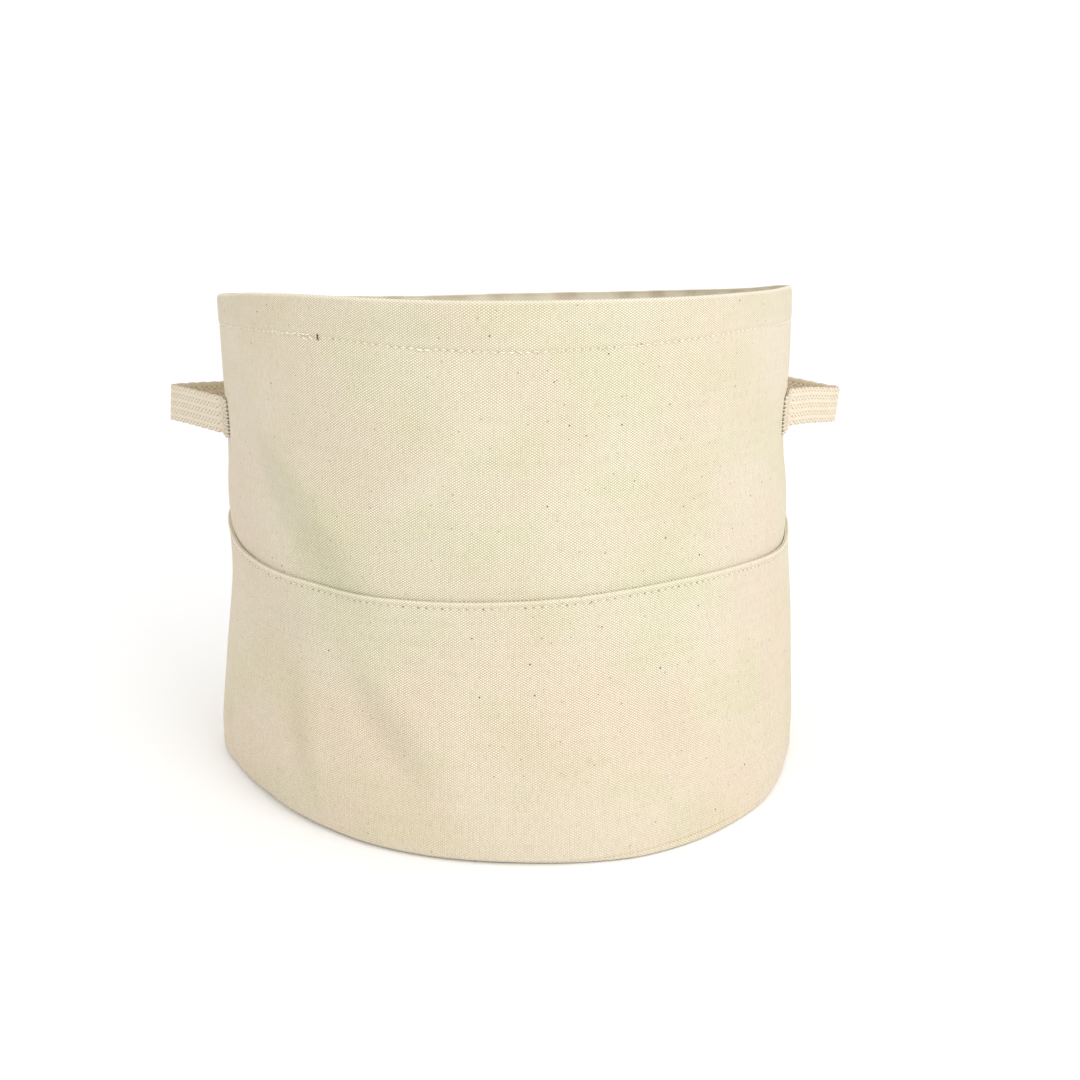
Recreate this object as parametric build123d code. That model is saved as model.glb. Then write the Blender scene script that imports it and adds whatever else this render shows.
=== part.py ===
from build123d import *
import os
from math import cos, radians, sin, tan

# A round canvas tool bucket that stands open-mouthed on a flat base.
# Two canvas wall panels meet in side seams, an outer pocket band is sewn round the
# lower half, and a webbing loop at each side is the carrying handle.
# Millimetres. The origin is the middle of the base, +Z is up, the front faces -Y
# and the handles stand out along X.

# Cloth
PLY = 0.9                   # thickness of one canvas ply
RIM_HEIGHT = 242.0
HEM_DEPTH = 20.3            # the rim's turned-in hem
RIM_CROWN = 0.8             # how far the rim fold is rounded off
WALL_PROFILE = [(0.0, 158.0), (55.0, 152.9), (110.0, 147.9), (165.0, 146.1), (242.0, 146.8)]

# Pocket band
BAND_GAP = 0.4              # slack between the band and the wall behind it
BAND_FOOT = 3.0             # the band is caught into the base seam above this height
BAND_FRONT_HEIGHT = 116.0   # the pocket edge dips to this at the middle of its panel
BAND_SIDE_HEIGHT = 125.0    # and rises to this at the side seams
BAND_HEM_DEPTH = 12.0       # turned-in pocket hem
BAND_STITCH_DROP = 3.0      # row of stitching below the pocket edge
BAND_END_GAP = 0.4          # angle in degrees left free at each end of a band

# Base
BASE_CLEARANCE = 0.1
BINDING_HEIGHT = 11.0       # tape over the raw edges of the base seam, inside
BINDING_THICKNESS = 2.4
SEAM_TAPE_ANGLE = 7.6       # a side seam tape is about 20 mm wide
SEAM_TAPE_THICKNESS = 1.1

# Webbing handle, as seen from above at the +X side
STRAP_WIDTH = 19.0
STRAP_THICKNESS = 2.0
STRAP_HEIGHT = 182.0        # height of the strap's middle line
STRAP_STANDOFF = 0.3        # from the wall to the back of a sewn end
STRAP_APEX_X = 180.9        # corner of the strap's middle line before its bend
STRAP_END_ANGLE = 22.4      # where a sewn end stops, in degrees round the wall
STRAP_FOOT_ANGLE = 16.8     # where a leg leaves the wall
STRAP_APEX_RADIUS = 5.0
STRAP_FOOT_RADIUS = 6.0
FLEX_LINE_X = 146.0         # the loop flexes up and down about this line
FLEX_GAP = 0.4
FLEX_RELIEF = 45.0          # slope in degrees of the relief beside the flex line

# Thread
THREAD = 0.4                # thickness of a laid row of stitching
ROW_HEIGHT = 0.6            # width of a laid row of stitching
ROW_ANGLE = 0.25            # width in degrees of an upright row of stitching
TACK_WIDTH = 1.8
TACK_LENGTH = 15.0
TACK_DISTANCES = (2.5, 8.0)  # from the cut end of the strap to each tack bar


def wall_radius(z):
    """Outer radius of the canvas wall at height z, straight between the profile points."""
    for (z0, r0), (z1, r1) in zip(WALL_PROFILE, WALL_PROFILE[1:]):
        if z <= z1:
            return r0 + (r1 - r0) * (z - z0) / (z1 - z0)
    return WALL_PROFILE[-1][1]


def follow_wall(z_from, z_to, offset):
    """Points (radius, height) at an offset from the wall's outer face, from one height to another."""
    low, high = sorted((z_from, z_to))
    heights = [low] + [z for z, _ in WALL_PROFILE if low < z < high] + [high]
    if z_from > z_to:
        heights.reverse()
    return [(wall_radius(z) + offset, z) for z in heights]


def section(points):
    """A closed cross-section standing in the XZ plane."""
    return Plane.XZ * make_face(Polyline(*points, close=True))


def skin(z_low, z_high, inside, outside):
    """Cross-section of a skin between two offsets from the wall's outer face."""
    return section(follow_wall(z_low, z_high, outside) + follow_wall(z_high, z_low, inside))


def sweep_round(face, start, span):
    """The cross-section turned about the bucket's axis, over an angle from a start angle."""
    return Rot(0, 0, start) * revolve(face, axis=Axis.Z, revolution_arc=span)


def wall_section():
    """One canvas ply from floor to rim, turned in at the top to make the hem."""
    hem_foot = RIM_HEIGHT - HEM_DEPTH
    shoulder = RIM_HEIGHT - RIM_CROWN
    crown = [(wall_radius(RIM_HEIGHT) - offset, RIM_HEIGHT) for offset in (RIM_CROWN, PLY * 2 - RIM_CROWN)]
    outside = follow_wall(0, shoulder, 0)
    hem_inside = follow_wall(shoulder, hem_foot, -2 * PLY)
    body_inside = follow_wall(hem_foot, 0, -PLY)
    return section(outside + crown + hem_inside + body_inside)


def pocket_plane(drop):
    """The slanting plane that the pocket edge lies in, lowered by a drop."""
    slope = (BAND_SIDE_HEIGHT - BAND_FRONT_HEIGHT) / wall_radius(BAND_FRONT_HEIGHT)
    return Plane(origin=(0, 0, BAND_SIDE_HEIGHT - drop), z_dir=(0, -slope, 1))


def front_half(face):
    """The cross-section turned round the front, with the ends of the pocket band left free."""
    return sweep_round(face, 180 + BAND_END_GAP, 180 - 2 * BAND_END_GAP)


def front_band():
    """The front pocket panel: one ply, with a second ply inside its top hem."""
    back_face = BAND_GAP + PLY
    ply = front_half(skin(BAND_FOOT, BAND_SIDE_HEIGHT, back_face, back_face + PLY))
    turned = front_half(skin(BAND_FOOT, BAND_SIDE_HEIGHT, BAND_GAP, back_face))
    hem = split(turned, bisect_by=pocket_plane(BAND_HEM_DEPTH), keep=Keep.TOP)
    return split(ply + hem, bisect_by=pocket_plane(0), keep=Keep.BOTTOM)


def front_band_stitching():
    """The row of stitching just under the pocket edge."""
    face_offset = BAND_GAP + 2 * PLY
    half_row = ROW_HEIGHT / 2
    laid = front_half(skin(BAND_FOOT, BAND_SIDE_HEIGHT, face_offset, face_offset + THREAD))
    below = split(laid, bisect_by=pocket_plane(BAND_STITCH_DROP - half_row), keep=Keep.BOTTOM)
    return split(below, bisect_by=pocket_plane(BAND_STITCH_DROP + half_row), keep=Keep.TOP)


def stitched_ring(height, face_offset):
    """A full ring of stitching laid on a face that follows the wall."""
    outside = max(face_offset, face_offset + THREAD)
    return sweep_round(skin(height, height + ROW_HEIGHT, face_offset, outside), 0, 360)


def base_disc(level):
    """One canvas ply of the base, lying inside the wall's foot."""
    radius = wall_radius((level + 1) * PLY) - PLY - BASE_CLEARANCE
    return Pos(0, 0, level * PLY) * Cylinder(radius, PLY, align=(Align.CENTER, Align.CENTER, Align.MIN))


def base_binding():
    """The tape ring that covers the base seam's raw edges inside the bucket."""
    foot = 2 * PLY + BASE_CLEARANCE
    outside = -PLY - BASE_CLEARANCE
    return sweep_round(skin(foot, foot + BINDING_HEIGHT, outside - BINDING_THICKNESS, outside), 0, 360)


def side_seam_tape():
    """The tape that covers the side seam's raw edges, inside the wall at the +X side."""
    foot = 2 * PLY + BINDING_HEIGHT + 2 * BASE_CLEARANCE
    top = RIM_HEIGHT - HEM_DEPTH - BASE_CLEARANCE
    outside = -PLY - BASE_CLEARANCE
    face = skin(foot, top, outside - SEAM_TAPE_THICKNESS, outside)
    return sweep_round(face, -SEAM_TAPE_ANGLE / 2, SEAM_TAPE_ANGLE)


def side_seam_stitching():
    """Two upright rows of stitching along the side seam tape."""
    foot = 2 * PLY + BINDING_HEIGHT + 2 * BASE_CLEARANCE
    top = RIM_HEIGHT - HEM_DEPTH - BASE_CLEARANCE
    outside = -PLY - BASE_CLEARANCE - SEAM_TAPE_THICKNESS
    face = skin(foot, top, outside - THREAD, outside)
    return [sweep_round(face, side * SEAM_TAPE_ANGLE / 3, ROW_ANGLE) for side in (-1, 1)]


def strap_point(angle):
    """A point of the strap's middle line where it lies on the wall, at the front half."""
    radius = wall_radius(STRAP_HEIGHT) + STRAP_STANDOFF + STRAP_THICKNESS / 2
    return (radius * cos(radians(angle)), -radius * sin(radians(angle)))


def strap():
    """The whole webbing strap: sewn end, leg, bend, leg and sewn end."""
    front = [strap_point(STRAP_END_ANGLE), strap_point(STRAP_FOOT_ANGLE)]
    rear = [(x, -y) for x, y in reversed(front)]
    radii = [STRAP_FOOT_RADIUS, STRAP_APEX_RADIUS, STRAP_FOOT_RADIUS]
    path = FilletPolyline(*front, (STRAP_APEX_X, 0), *rear, radius=radii)
    print("strap cut length", round(path.length, 1))
    outline = trace(path, line_width=STRAP_THICKNESS)
    return Pos(0, 0, STRAP_HEIGHT - STRAP_WIDTH / 2) * extrude(outline, amount=STRAP_WIDTH)


def strap_loop():
    """The free loop of the strap, relieved at its flex line so that it clears the wall."""
    reach = STRAP_WIDTH
    tip_x = FLEX_LINE_X + FLEX_GAP
    edge_x = tip_x + reach * tan(radians(FLEX_RELIEF))
    back_x = FLEX_LINE_X - reach
    low, high = STRAP_HEIGHT - reach, STRAP_HEIGHT + reach
    relief = section([(back_x, low), (edge_x, low), (tip_x, STRAP_HEIGHT), (edge_x, high), (back_x, high)])
    return strap() - extrude(relief, amount=4 * reach, both=True)


def strap_front_end():
    """The sewn end of the strap at its front leg, up to the flex line."""
    keep = Pos(FLEX_LINE_X - FLEX_GAP, 0, STRAP_HEIGHT) * Box(
        STRAP_APEX_X, STRAP_APEX_X, 2 * STRAP_WIDTH, align=(Align.MAX, Align.MAX, Align.CENTER))
    return strap() & keep


def strap_tacks():
    """Two bars of tack stitching across each sewn end of the strap."""
    start = Vector(*strap_point(STRAP_END_ANGLE))
    along = (Vector(*strap_point(STRAP_FOOT_ANGLE)) - start).normalized()
    outward = Vector(along.Y, -along.X)
    lift = outward * (STRAP_THICKNESS / 2 + THREAD / 2)
    bars = []
    for distance in TACK_DISTANCES:
        low = start + along * distance + lift
        bar = trace(Line(low, low + along * TACK_WIDTH), line_width=THREAD)
        bars.append(Pos(0, 0, STRAP_HEIGHT - TACK_LENGTH / 2) * extrude(bar, amount=TACK_LENGTH))
    return bars + [bar.mirror(Plane.XZ) for bar in bars]


def turned(shape):
    """The same piece at the opposite side of the bucket."""
    if isinstance(shape, list):
        return [turned(piece) for piece in shape]
    return Rot(0, 0, 180) * shape


def save(name, shape):
    """Writes a node's STEP file."""
    if isinstance(shape, list):
        shape = Compound(children=shape)
    export_step(shape, os.path.join("parts", name + ".step"))
    print(name, round(shape.volume, 1))


def save_pair(first, second, shape):
    """Writes a piece and its twin on the opposite side of the bucket."""
    save(first, shape)
    save(second, turned(shape))


os.makedirs("parts", exist_ok=True)

save_pair("back_wall", "front_wall", sweep_round(wall_section(), 0, 180))
save_pair("front_pocket_band", "back_pocket_band", front_band())
save("base_outer_disc", base_disc(0))
save("base_inner_disc", base_disc(1))
save("base_seam_binding", base_binding())
save_pair("right_side_seam_tape", "left_side_seam_tape", side_seam_tape())

save_pair("right_handle_loop", "left_handle_loop", strap_loop())
save_pair("right_handle_front_end", "left_handle_rear_end", strap_front_end())
save_pair("right_handle_rear_end", "left_handle_front_end", strap_front_end().mirror(Plane.XZ))

save("rim_hem_stitching", [
    stitched_ring(RIM_HEIGHT - HEM_DEPTH + 1, 0),
    stitched_ring(RIM_HEIGHT - HEM_DEPTH + 1, -2 * PLY - THREAD)])
save_pair("front_pocket_stitching", "back_pocket_stitching", front_band_stitching())
save("base_seam_stitching", stitched_ring(
    BINDING_HEIGHT / 2, -PLY - BASE_CLEARANCE - BINDING_THICKNESS - THREAD))
save_pair("right_side_seam_stitching", "left_side_seam_stitching", side_seam_stitching())
save_pair("right_handle_tacks", "left_handle_tacks", strap_tacks())
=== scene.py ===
# %% [markdown]
# # A canvas tool bucket
# The bucket is cut from undyed cotton duck: two wall panels, a pocket band sewn round
# the lower half, a round base of two plies, tape over the raw seams inside, and a
# loop of cotton webbing at each side. The cut sizes and the joints are settled in the
# frame that is loaded first, so every cloth piece here is built where the frame says.

# %% Load the frame
import bmesh
import bpy
import numpy as np
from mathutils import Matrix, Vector


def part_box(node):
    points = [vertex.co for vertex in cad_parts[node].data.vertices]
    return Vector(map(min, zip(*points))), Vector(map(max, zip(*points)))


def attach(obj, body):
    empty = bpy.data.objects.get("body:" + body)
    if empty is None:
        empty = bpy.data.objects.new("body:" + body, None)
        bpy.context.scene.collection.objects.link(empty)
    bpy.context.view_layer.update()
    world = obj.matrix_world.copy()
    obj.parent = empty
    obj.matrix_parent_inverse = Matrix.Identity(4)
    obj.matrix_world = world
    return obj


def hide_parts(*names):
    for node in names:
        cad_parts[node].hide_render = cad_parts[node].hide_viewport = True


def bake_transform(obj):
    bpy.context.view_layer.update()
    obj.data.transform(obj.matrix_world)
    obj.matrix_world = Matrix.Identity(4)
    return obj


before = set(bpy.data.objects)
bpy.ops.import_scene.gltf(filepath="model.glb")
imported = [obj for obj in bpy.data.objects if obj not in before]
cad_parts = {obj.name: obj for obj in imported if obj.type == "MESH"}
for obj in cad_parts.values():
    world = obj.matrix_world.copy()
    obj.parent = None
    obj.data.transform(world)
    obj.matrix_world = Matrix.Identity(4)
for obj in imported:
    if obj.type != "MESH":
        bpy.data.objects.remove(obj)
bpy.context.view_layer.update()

MM = 0.001
wall_low, wall_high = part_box("front_wall")
print("the front wall stands from", round(wall_low.z / MM, 1), "to", round(wall_high.z / MM, 1), "mm")

# %% [markdown]
# ## The camera
# The bucket is looked at from a little above its rim, about two bucket widths away.
# A camera could be aimed by a constraint, but two plain angles are easier to read:
# one tips it down, and a small one turns it so that the bucket stands left of centre.

# %% Camera
EYE_DISTANCE = 0.6093
EYE_HEIGHT = 0.258
TIP_DOWN = 14.07
TURN_RIGHT = 1.673
LENS = 37.67


def place_camera():
    """The eye that looks at the bucket's front."""
    lens = bpy.data.cameras.new("eye")
    lens.lens = LENS
    lens.clip_start = 0.01
    lens.clip_end = 50
    eye = bpy.data.objects.new("eye", lens)
    eye.location = (0, -EYE_DISTANCE, EYE_HEIGHT)
    eye.rotation_euler = (np.radians(90 - TIP_DOWN), 0, np.radians(-TURN_RIGHT))
    bpy.context.scene.collection.objects.link(eye)
    bpy.context.scene.camera = eye
    return eye


eye = place_camera()
print("eye stands", eye.location[:])

# %% [markdown]
# ## Light
# A product table: a bright even sky for the soft fill, and one large soft light from
# the right front that leaves the left side a shade darker. A sky picture would do the
# same job, but plain white keeps the undyed cotton's own colour.

# %% Light
SKY_STRENGTH = 1.06
KEY_PLACE = (1.05, -1.33, 1.0)
KEY_AIM = (0, 0, 0.14)
KEY_WIDTH = 1.0
KEY_POWER = 11.2


def hang_lamp(name, place, aim, width, power):
    """A large square soft light aimed at a point."""
    lamp_data = bpy.data.lights.new(name, "AREA")
    lamp_data.shape = "SQUARE"
    lamp_data.size = width
    lamp_data.energy = power
    lamp = bpy.data.objects.new(name, lamp_data)
    lamp.location = place
    lamp.rotation_mode = "QUATERNION"
    lamp.rotation_quaternion = (Vector(aim) - Vector(place)).to_track_quat("-Z", "Y")
    bpy.context.scene.collection.objects.link(lamp)
    return lamp


def light_the_table():
    """White sky fill and one key light from the right front."""
    sky = bpy.data.worlds.new("sky")
    sky.use_nodes = True
    background = sky.node_tree.nodes["Background"]
    background.inputs["Color"].default_value = (1.0, 1.0, 1.0, 1.0)
    background.inputs["Strength"].default_value = SKY_STRENGTH
    bpy.context.scene.world = sky
    bpy.context.scene.view_settings.view_transform = "Standard"
    hang_lamp("key_light", KEY_PLACE, KEY_AIM, KEY_WIDTH, KEY_POWER)


light_the_table()
print("sky", SKY_STRENGTH, "and a key light of", KEY_POWER, "W")

# %% [markdown]
# ## Wiring a finish
# Every finish below is worked out from nodes, so a few shorthands are set up once: one
# adds a node, one does a sum on sockets, and one blends two colours. Numbers that are
# the same all over go straight on the shader.

# %% Shorthands for finishes


class Finish:
    """A new material and shorthands for wiring its nodes."""

    def __init__(self, name):
        self.material = bpy.data.materials.new(name)
        self.material.use_nodes = True
        self.tree = self.material.node_tree
        self.shader = self.tree.nodes["Principled BSDF"]

    def add(self, kind, **settings):
        """A node of a kind, with its own settings."""
        made = self.tree.nodes.new(kind)
        for setting, value in settings.items():
            setattr(made, setting, value)
        return made

    def feed(self, socket, value):
        """Links a socket's value, or sets a plain number or colour."""
        if isinstance(value, bpy.types.NodeSocket):
            self.tree.links.new(value, socket)
        else:
            socket.default_value = value

    def sum(self, operation, *values):
        """One step of arithmetic on sockets or numbers."""
        step = self.add("ShaderNodeMath", operation=operation)
        for socket, value in zip(step.inputs, values):
            self.feed(socket, value)
        return step.outputs[0]

    def ramp(self, value, low, high, to_low=0.0, to_high=1.0):
        """A smooth step from one level to another."""
        step = self.add("ShaderNodeMapRange", interpolation_type="SMOOTHSTEP")
        for socket, setting in zip(step.inputs, (value, low, high, to_low, to_high)):
            self.feed(socket, setting)
        return step.outputs[0]

    def tint(self, amount, first, second, blend_type="MIX"):
        """Two colours blended by an amount."""
        step = self.add("ShaderNodeMix", data_type="RGBA", blend_type=blend_type)
        self.feed(step.inputs[0], amount)
        self.feed(step.inputs[6], first)
        self.feed(step.inputs[7], second)
        return step.outputs[2]

    def noise(self, where, scale, detail=2.0):
        """Cloudy noise between 0 and 1 at a number of lumps per metre."""
        cloud = self.add("ShaderNodeTexNoise")
        self.feed(cloud.inputs["Vector"], where)
        cloud.inputs["Scale"].default_value = scale
        cloud.inputs["Detail"].default_value = detail
        return cloud.outputs["Fac"]

    def stretched(self, where, across, along):
        """The same place with its two directions scaled apart."""
        scaled = self.add("ShaderNodeVectorMath", operation="MULTIPLY")
        self.feed(scaled.inputs[0], where)
        self.feed(scaled.inputs[1], (across, along, 1.0))
        return scaled.outputs[0]

    def emboss(self, height, depth):
        """Bumps the shader's surface by a height pattern of a given depth in metres."""
        bump = self.add("ShaderNodeBump")
        bump.inputs["Distance"].default_value = depth
        self.feed(bump.inputs["Height"], height)
        self.feed(self.shader.inputs["Normal"], bump.outputs[0])


def pale(red, green, blue):
    """A colour socket's value from three numbers."""
    return (red, green, blue, 1.0)


def uv_place(finish, layer):
    """A flat pattern's place, and its two directions apart."""
    place = finish.add("ShaderNodeUVMap", uv_map=layer).outputs[0]
    split = finish.add("ShaderNodeSeparateXYZ")
    finish.feed(split.inputs[0], place)
    return place, split.outputs[0], split.outputs[1]


def dry_cotton(finish, sheen):
    """The plain shader numbers that all the cottons share."""
    finish.shader.inputs["Roughness"].default_value = 0.9
    finish.shader.inputs["Sheen Weight"].default_value = sheen
    finish.shader.inputs["Specular IOR Level"].default_value = 0.25


print("shorthands ready")

# %% [markdown]
# ## The plain weave
# Duck is a plain weave: an upright yarn goes over one level yarn and under the next.
# It could be modelled thread by thread, but at half a million crossings a bump worked
# out from the two yarn counts is lighter and bakes well. Slow noise makes the yarns
# wander, as they do in real cloth, and the upright yarns ride higher than the level
# ones, which hides all but the level yarns' crowns.

# %% Plain weave
UPRIGHT_YARN = 0.90 * MM
LEVEL_YARN = 0.56 * MM
YARN_WANDER = 1.6
YARN_ROUNDNESS = 3.4
LEVEL_SINK = 0.50


def yarn_height(cloth, off_centre, along_yarn, over, side):
    """A rounded yarn that rises where it goes over and sinks where it goes under."""
    square = cloth.sum("MULTIPLY", off_centre, off_centre)
    rounded = cloth.sum("SUBTRACT", 1.0, cloth.sum("MULTIPLY", square, YARN_ROUNDNESS))
    wave = cloth.sum("COSINE", cloth.sum("MULTIPLY", along_yarn, np.pi))
    rise = cloth.sum("MULTIPLY", cloth.sum("MULTIPLY", wave, over), 0.5 * side)
    return cloth.sum("MULTIPLY", rounded, cloth.sum("ADD", rise, 0.5))


def crown_light(cloth, u_off, v_off, over, height):
    """Painted light of a crossing: a painted highlight on the yarn that is on top, painted shade in the
    gaps.
    """
    u_round = cloth.sum("COSINE", cloth.sum("MULTIPLY", u_off, np.pi))
    v_round = cloth.sum("COSINE", cloth.sum("MULTIPLY", v_off, np.pi))
    round_crown = cloth.sum("MULTIPLY", u_round, v_round)
    crown = cloth.sum("MULTIPLY_ADD", cloth.sum("MULTIPLY", round_crown, over), 0.5, 0.5)
    return cloth.sum("ADD", cloth.sum("MULTIPLY", height, 0.35), cloth.sum("MULTIPLY", crown, 0.65))


def yarn_grid(cloth, where, u_place, v_place):
    """A plain weave: its height, its painted highlights and shade, and the numbers of its two yarns."""
    wander = cloth.sum("MULTIPLY", cloth.noise(where, 55.0, 2.0), YARN_WANDER)
    sway = cloth.sum("MULTIPLY", cloth.noise(where, 80.0, 2.0), YARN_WANDER)
    u = cloth.sum("ADD", cloth.sum("DIVIDE", u_place, UPRIGHT_YARN), wander)
    v = cloth.sum("ADD", cloth.sum("DIVIDE", v_place, LEVEL_YARN), sway)
    u_number, v_number = cloth.sum("FLOOR", u), cloth.sum("FLOOR", v)
    both = cloth.sum("ABSOLUTE", cloth.sum("ADD", u_number, v_number))
    parity = cloth.sum("MODULO", both, 2.0)
    over = cloth.sum("SUBTRACT", 1.0, cloth.sum("MULTIPLY", parity, 2.0))
    u_off = cloth.sum("SUBTRACT", cloth.sum("FRACT", u), 0.5)
    v_off = cloth.sum("SUBTRACT", cloth.sum("FRACT", v), 0.5)
    upright = yarn_height(cloth, u_off, v_off, over, 1.0)
    level = yarn_height(cloth, v_off, u_off, over, -1.0)
    height = cloth.sum("MAXIMUM", upright, cloth.sum("MULTIPLY", level, LEVEL_SINK))
    return height, crown_light(cloth, u_off, v_off, over, height), u_number, v_number


print("yarns to the inch", round(25.4 * MM / UPRIGHT_YARN), "by", round(25.4 * MM / LEVEL_YARN))

# %% [markdown]
# ## Yarn shades and seed husk
# Undyed cotton is never one colour. Single yarns are a shade lighter or darker, and
# brown specks of seed husk are spun in. Specks could be scattered as tiny pieces, but
# as dots in the colour they follow the cloth for free. There are two sizes of them.

# %% Yarn shades and seed husk
HUSK = pale(0.16, 0.11, 0.05)
HUSK_SIZES = (
    # spacing mm, speck mm, share of places that have one, strength
    (8.0, 0.56, 0.52, 0.90),
    (4.2, 0.42, 0.50, 0.62),
)


def yarn_shade(cloth, number):
    """A random shade for each numbered yarn."""
    random = cloth.add("ShaderNodeTexWhiteNoise", noise_dimensions="1D")
    cloth.feed(random.inputs["W"], number)
    return random.outputs["Value"]


def seed_specks(cloth, where, spacing, size, share):
    """1 at scattered specks of seed husk, 0 elsewhere."""
    spots = cloth.add("ShaderNodeTexVoronoi", feature="F1")
    cloth.feed(spots.inputs["Vector"], where)
    spots.inputs["Scale"].default_value = 1.0 / spacing
    dot = cloth.ramp(spots.outputs["Distance"], 0.55 * size / spacing, size / spacing, 1.0, 0.0)
    pick = cloth.add("ShaderNodeSeparateColor")
    cloth.feed(pick.inputs[0], spots.outputs["Color"])
    chosen = cloth.sum("LESS_THAN", pick.outputs[0], share)
    return cloth.sum("MULTIPLY", dot, chosen)


print("husk specks of", [size for _, size, _, _ in HUSK_SIZES], "mm")

# %% [markdown]
# ## Needle holes and edge highlights
# A lockstitch pricks a hole at each stitch and draws the cloth into a shallow groove, and the crown of a
# folded edge gets a painted highlight. The meshes bring a second flat pattern, "row", that counts stitches
# along a row and millimetres above it, so the marks always sit under the thread. Pocket rows count from
# 1000, which tells the two kinds of row apart.
# A whole shift of 300 stitches keeps every count above 0, and the half puts each hole
# where a stitch starts.

# %% Needle holes and edge highlights
GIRTH = 150.0
STITCHES_ROUND = 265
STITCH = 2 * np.pi * GIRTH / STITCHES_ROUND
POCKET_COUNT = 1000
COUNT_SHIFT = 300.5
HOLE_REACH = 0.30
GROOVE_REACH = 1.1


def needle_holes(cloth, count, across, on_pocket):
    """1 in the needle holes of a stitched row: some are pulled wider than others."""
    count = cloth.sum("ADD", count, COUNT_SHIFT)
    beat = cloth.sum("SUBTRACT", cloth.sum("FRACT", count), 0.5)
    along = cloth.sum("MULTIPLY", beat, STITCH)
    spread = cloth.sum("ADD", cloth.sum("MULTIPLY", along, along), cloth.sum("MULTIPLY", across, across))
    pull = yarn_shade(cloth, cloth.sum("FLOOR", count))
    pull = cloth.sum("MULTIPLY", pull, cloth.sum("ADD", on_pocket, 1.0))
    dot = cloth.ramp(spread, 0.03, HOLE_REACH, 1.0, 0.0)
    return cloth.sum("MULTIPLY", dot, cloth.sum("MULTIPLY", pull, 0.45))


def needle_row(cloth):
    """A stitched row's holes, its groove, and the painted highlight on the fold above it."""
    _, count, across = uv_place(cloth, "row")
    on_pocket = cloth.sum("GREATER_THAN", count, POCKET_COUNT / 2)
    hole = needle_holes(cloth, count, across, on_pocket)
    groove = cloth.ramp(cloth.sum("ABSOLUTE", across), 0.2, GROOVE_REACH, 1.0, 0.0)
    near_front = cloth.ramp(cloth.sum("ABSOLUTE", count), 20.0, 32.0, 1.0, 0.35)
    shown = cloth.sum("MAXIMUM", on_pocket, near_front)
    # painted highlight on the crowns of the pocket bead and the rim fold
    bead = cloth.sum("MULTIPLY", cloth.ramp(across, 1.4, 2.6, 0.0, 0.45), on_pocket)
    rim = cloth.sum("MULTIPLY", cloth.ramp(across, 18.5, 20.0), 0.6)
    edge_highlight = cloth.sum("MAXIMUM", bead, rim)
    return cloth.sum("MULTIPLY", hole, shown), cloth.sum("MULTIPLY", groove, shown), edge_highlight


print("stitches of", round(STITCH, 2), "mm")

# %% [markdown]
# ## Cotton duck finish
# The canvas colour starts from the weave, with painted highlights on its crowns and painted shade in its
# gaps. On top come painted shade along the creases, a warmer foot, a slightly green middle and faint clouds,
# and painted light over the inside and along the light creases. A painted map could hold all this, but ramps
# on the two flat patterns stay sharp at any distance. The third pattern, "shade_and_height", brings how much
# painted shade a place gets (below 0, painted light, as inside the bucket) and the height above the floor in
# millimetres.

# %% Cotton duck finish
WEAVE_DEPTH = 0.20 * MM
CROWN_HIGHLIGHT = pale(1.0, 0.92, 0.745)
WEAVE_GAP_SHADE = pale(0.46, 0.395, 0.285)
EVEN_WEAVE = pale(0.70, 0.635, 0.51)
CREASE_SHADE = pale(0.915, 0.93, 0.90)
PAINTED_LIGHT = pale(1.0, 0.95, 0.80)
EDGE_HIGHLIGHT = pale(0.93, 0.87, 0.73)
GROOVE_SHADE = pale(0.46, 0.40, 0.28)
HOLE_SHADE = pale(0.16, 0.12, 0.07)


def woven_colour(cloth, where, lit, upright, level, side, height):
    """The weave's colour with painted highlights on the crowns and painted shade in the gaps, fading to one
    even colour near the foot and round the sides.
    """
    # painted highlight on the yarn crowns, painted shade in the gaps between them
    colour = cloth.tint(cloth.ramp(lit, 0.0, 1.0), WEAVE_GAP_SHADE, CROWN_HIGHLIGHT)
    low = cloth.ramp(height, 12.0, 75.0, 0.50, 1.0)
    crisp = cloth.sum("MULTIPLY", low, cloth.ramp(side, 0.075, 0.13, 1.0, 0.60))
    colour = cloth.tint(crisp, EVEN_WEAVE, colour)
    shade = cloth.sum("ADD", yarn_shade(cloth, upright), yarn_shade(cloth, level))
    colour = cloth.tint(cloth.ramp(shade, 0.2, 1.8), colour, pale(0.965, 0.965, 0.96), "MULTIPLY")
    slub = cloth.noise(cloth.stretched(where, 1500.0, 220.0), 1.0, 2.0)
    return cloth.tint(cloth.ramp(slub, 0.42, 0.75, 0.0, 0.17), colour, pale(0.30, 0.25, 0.17))


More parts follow.
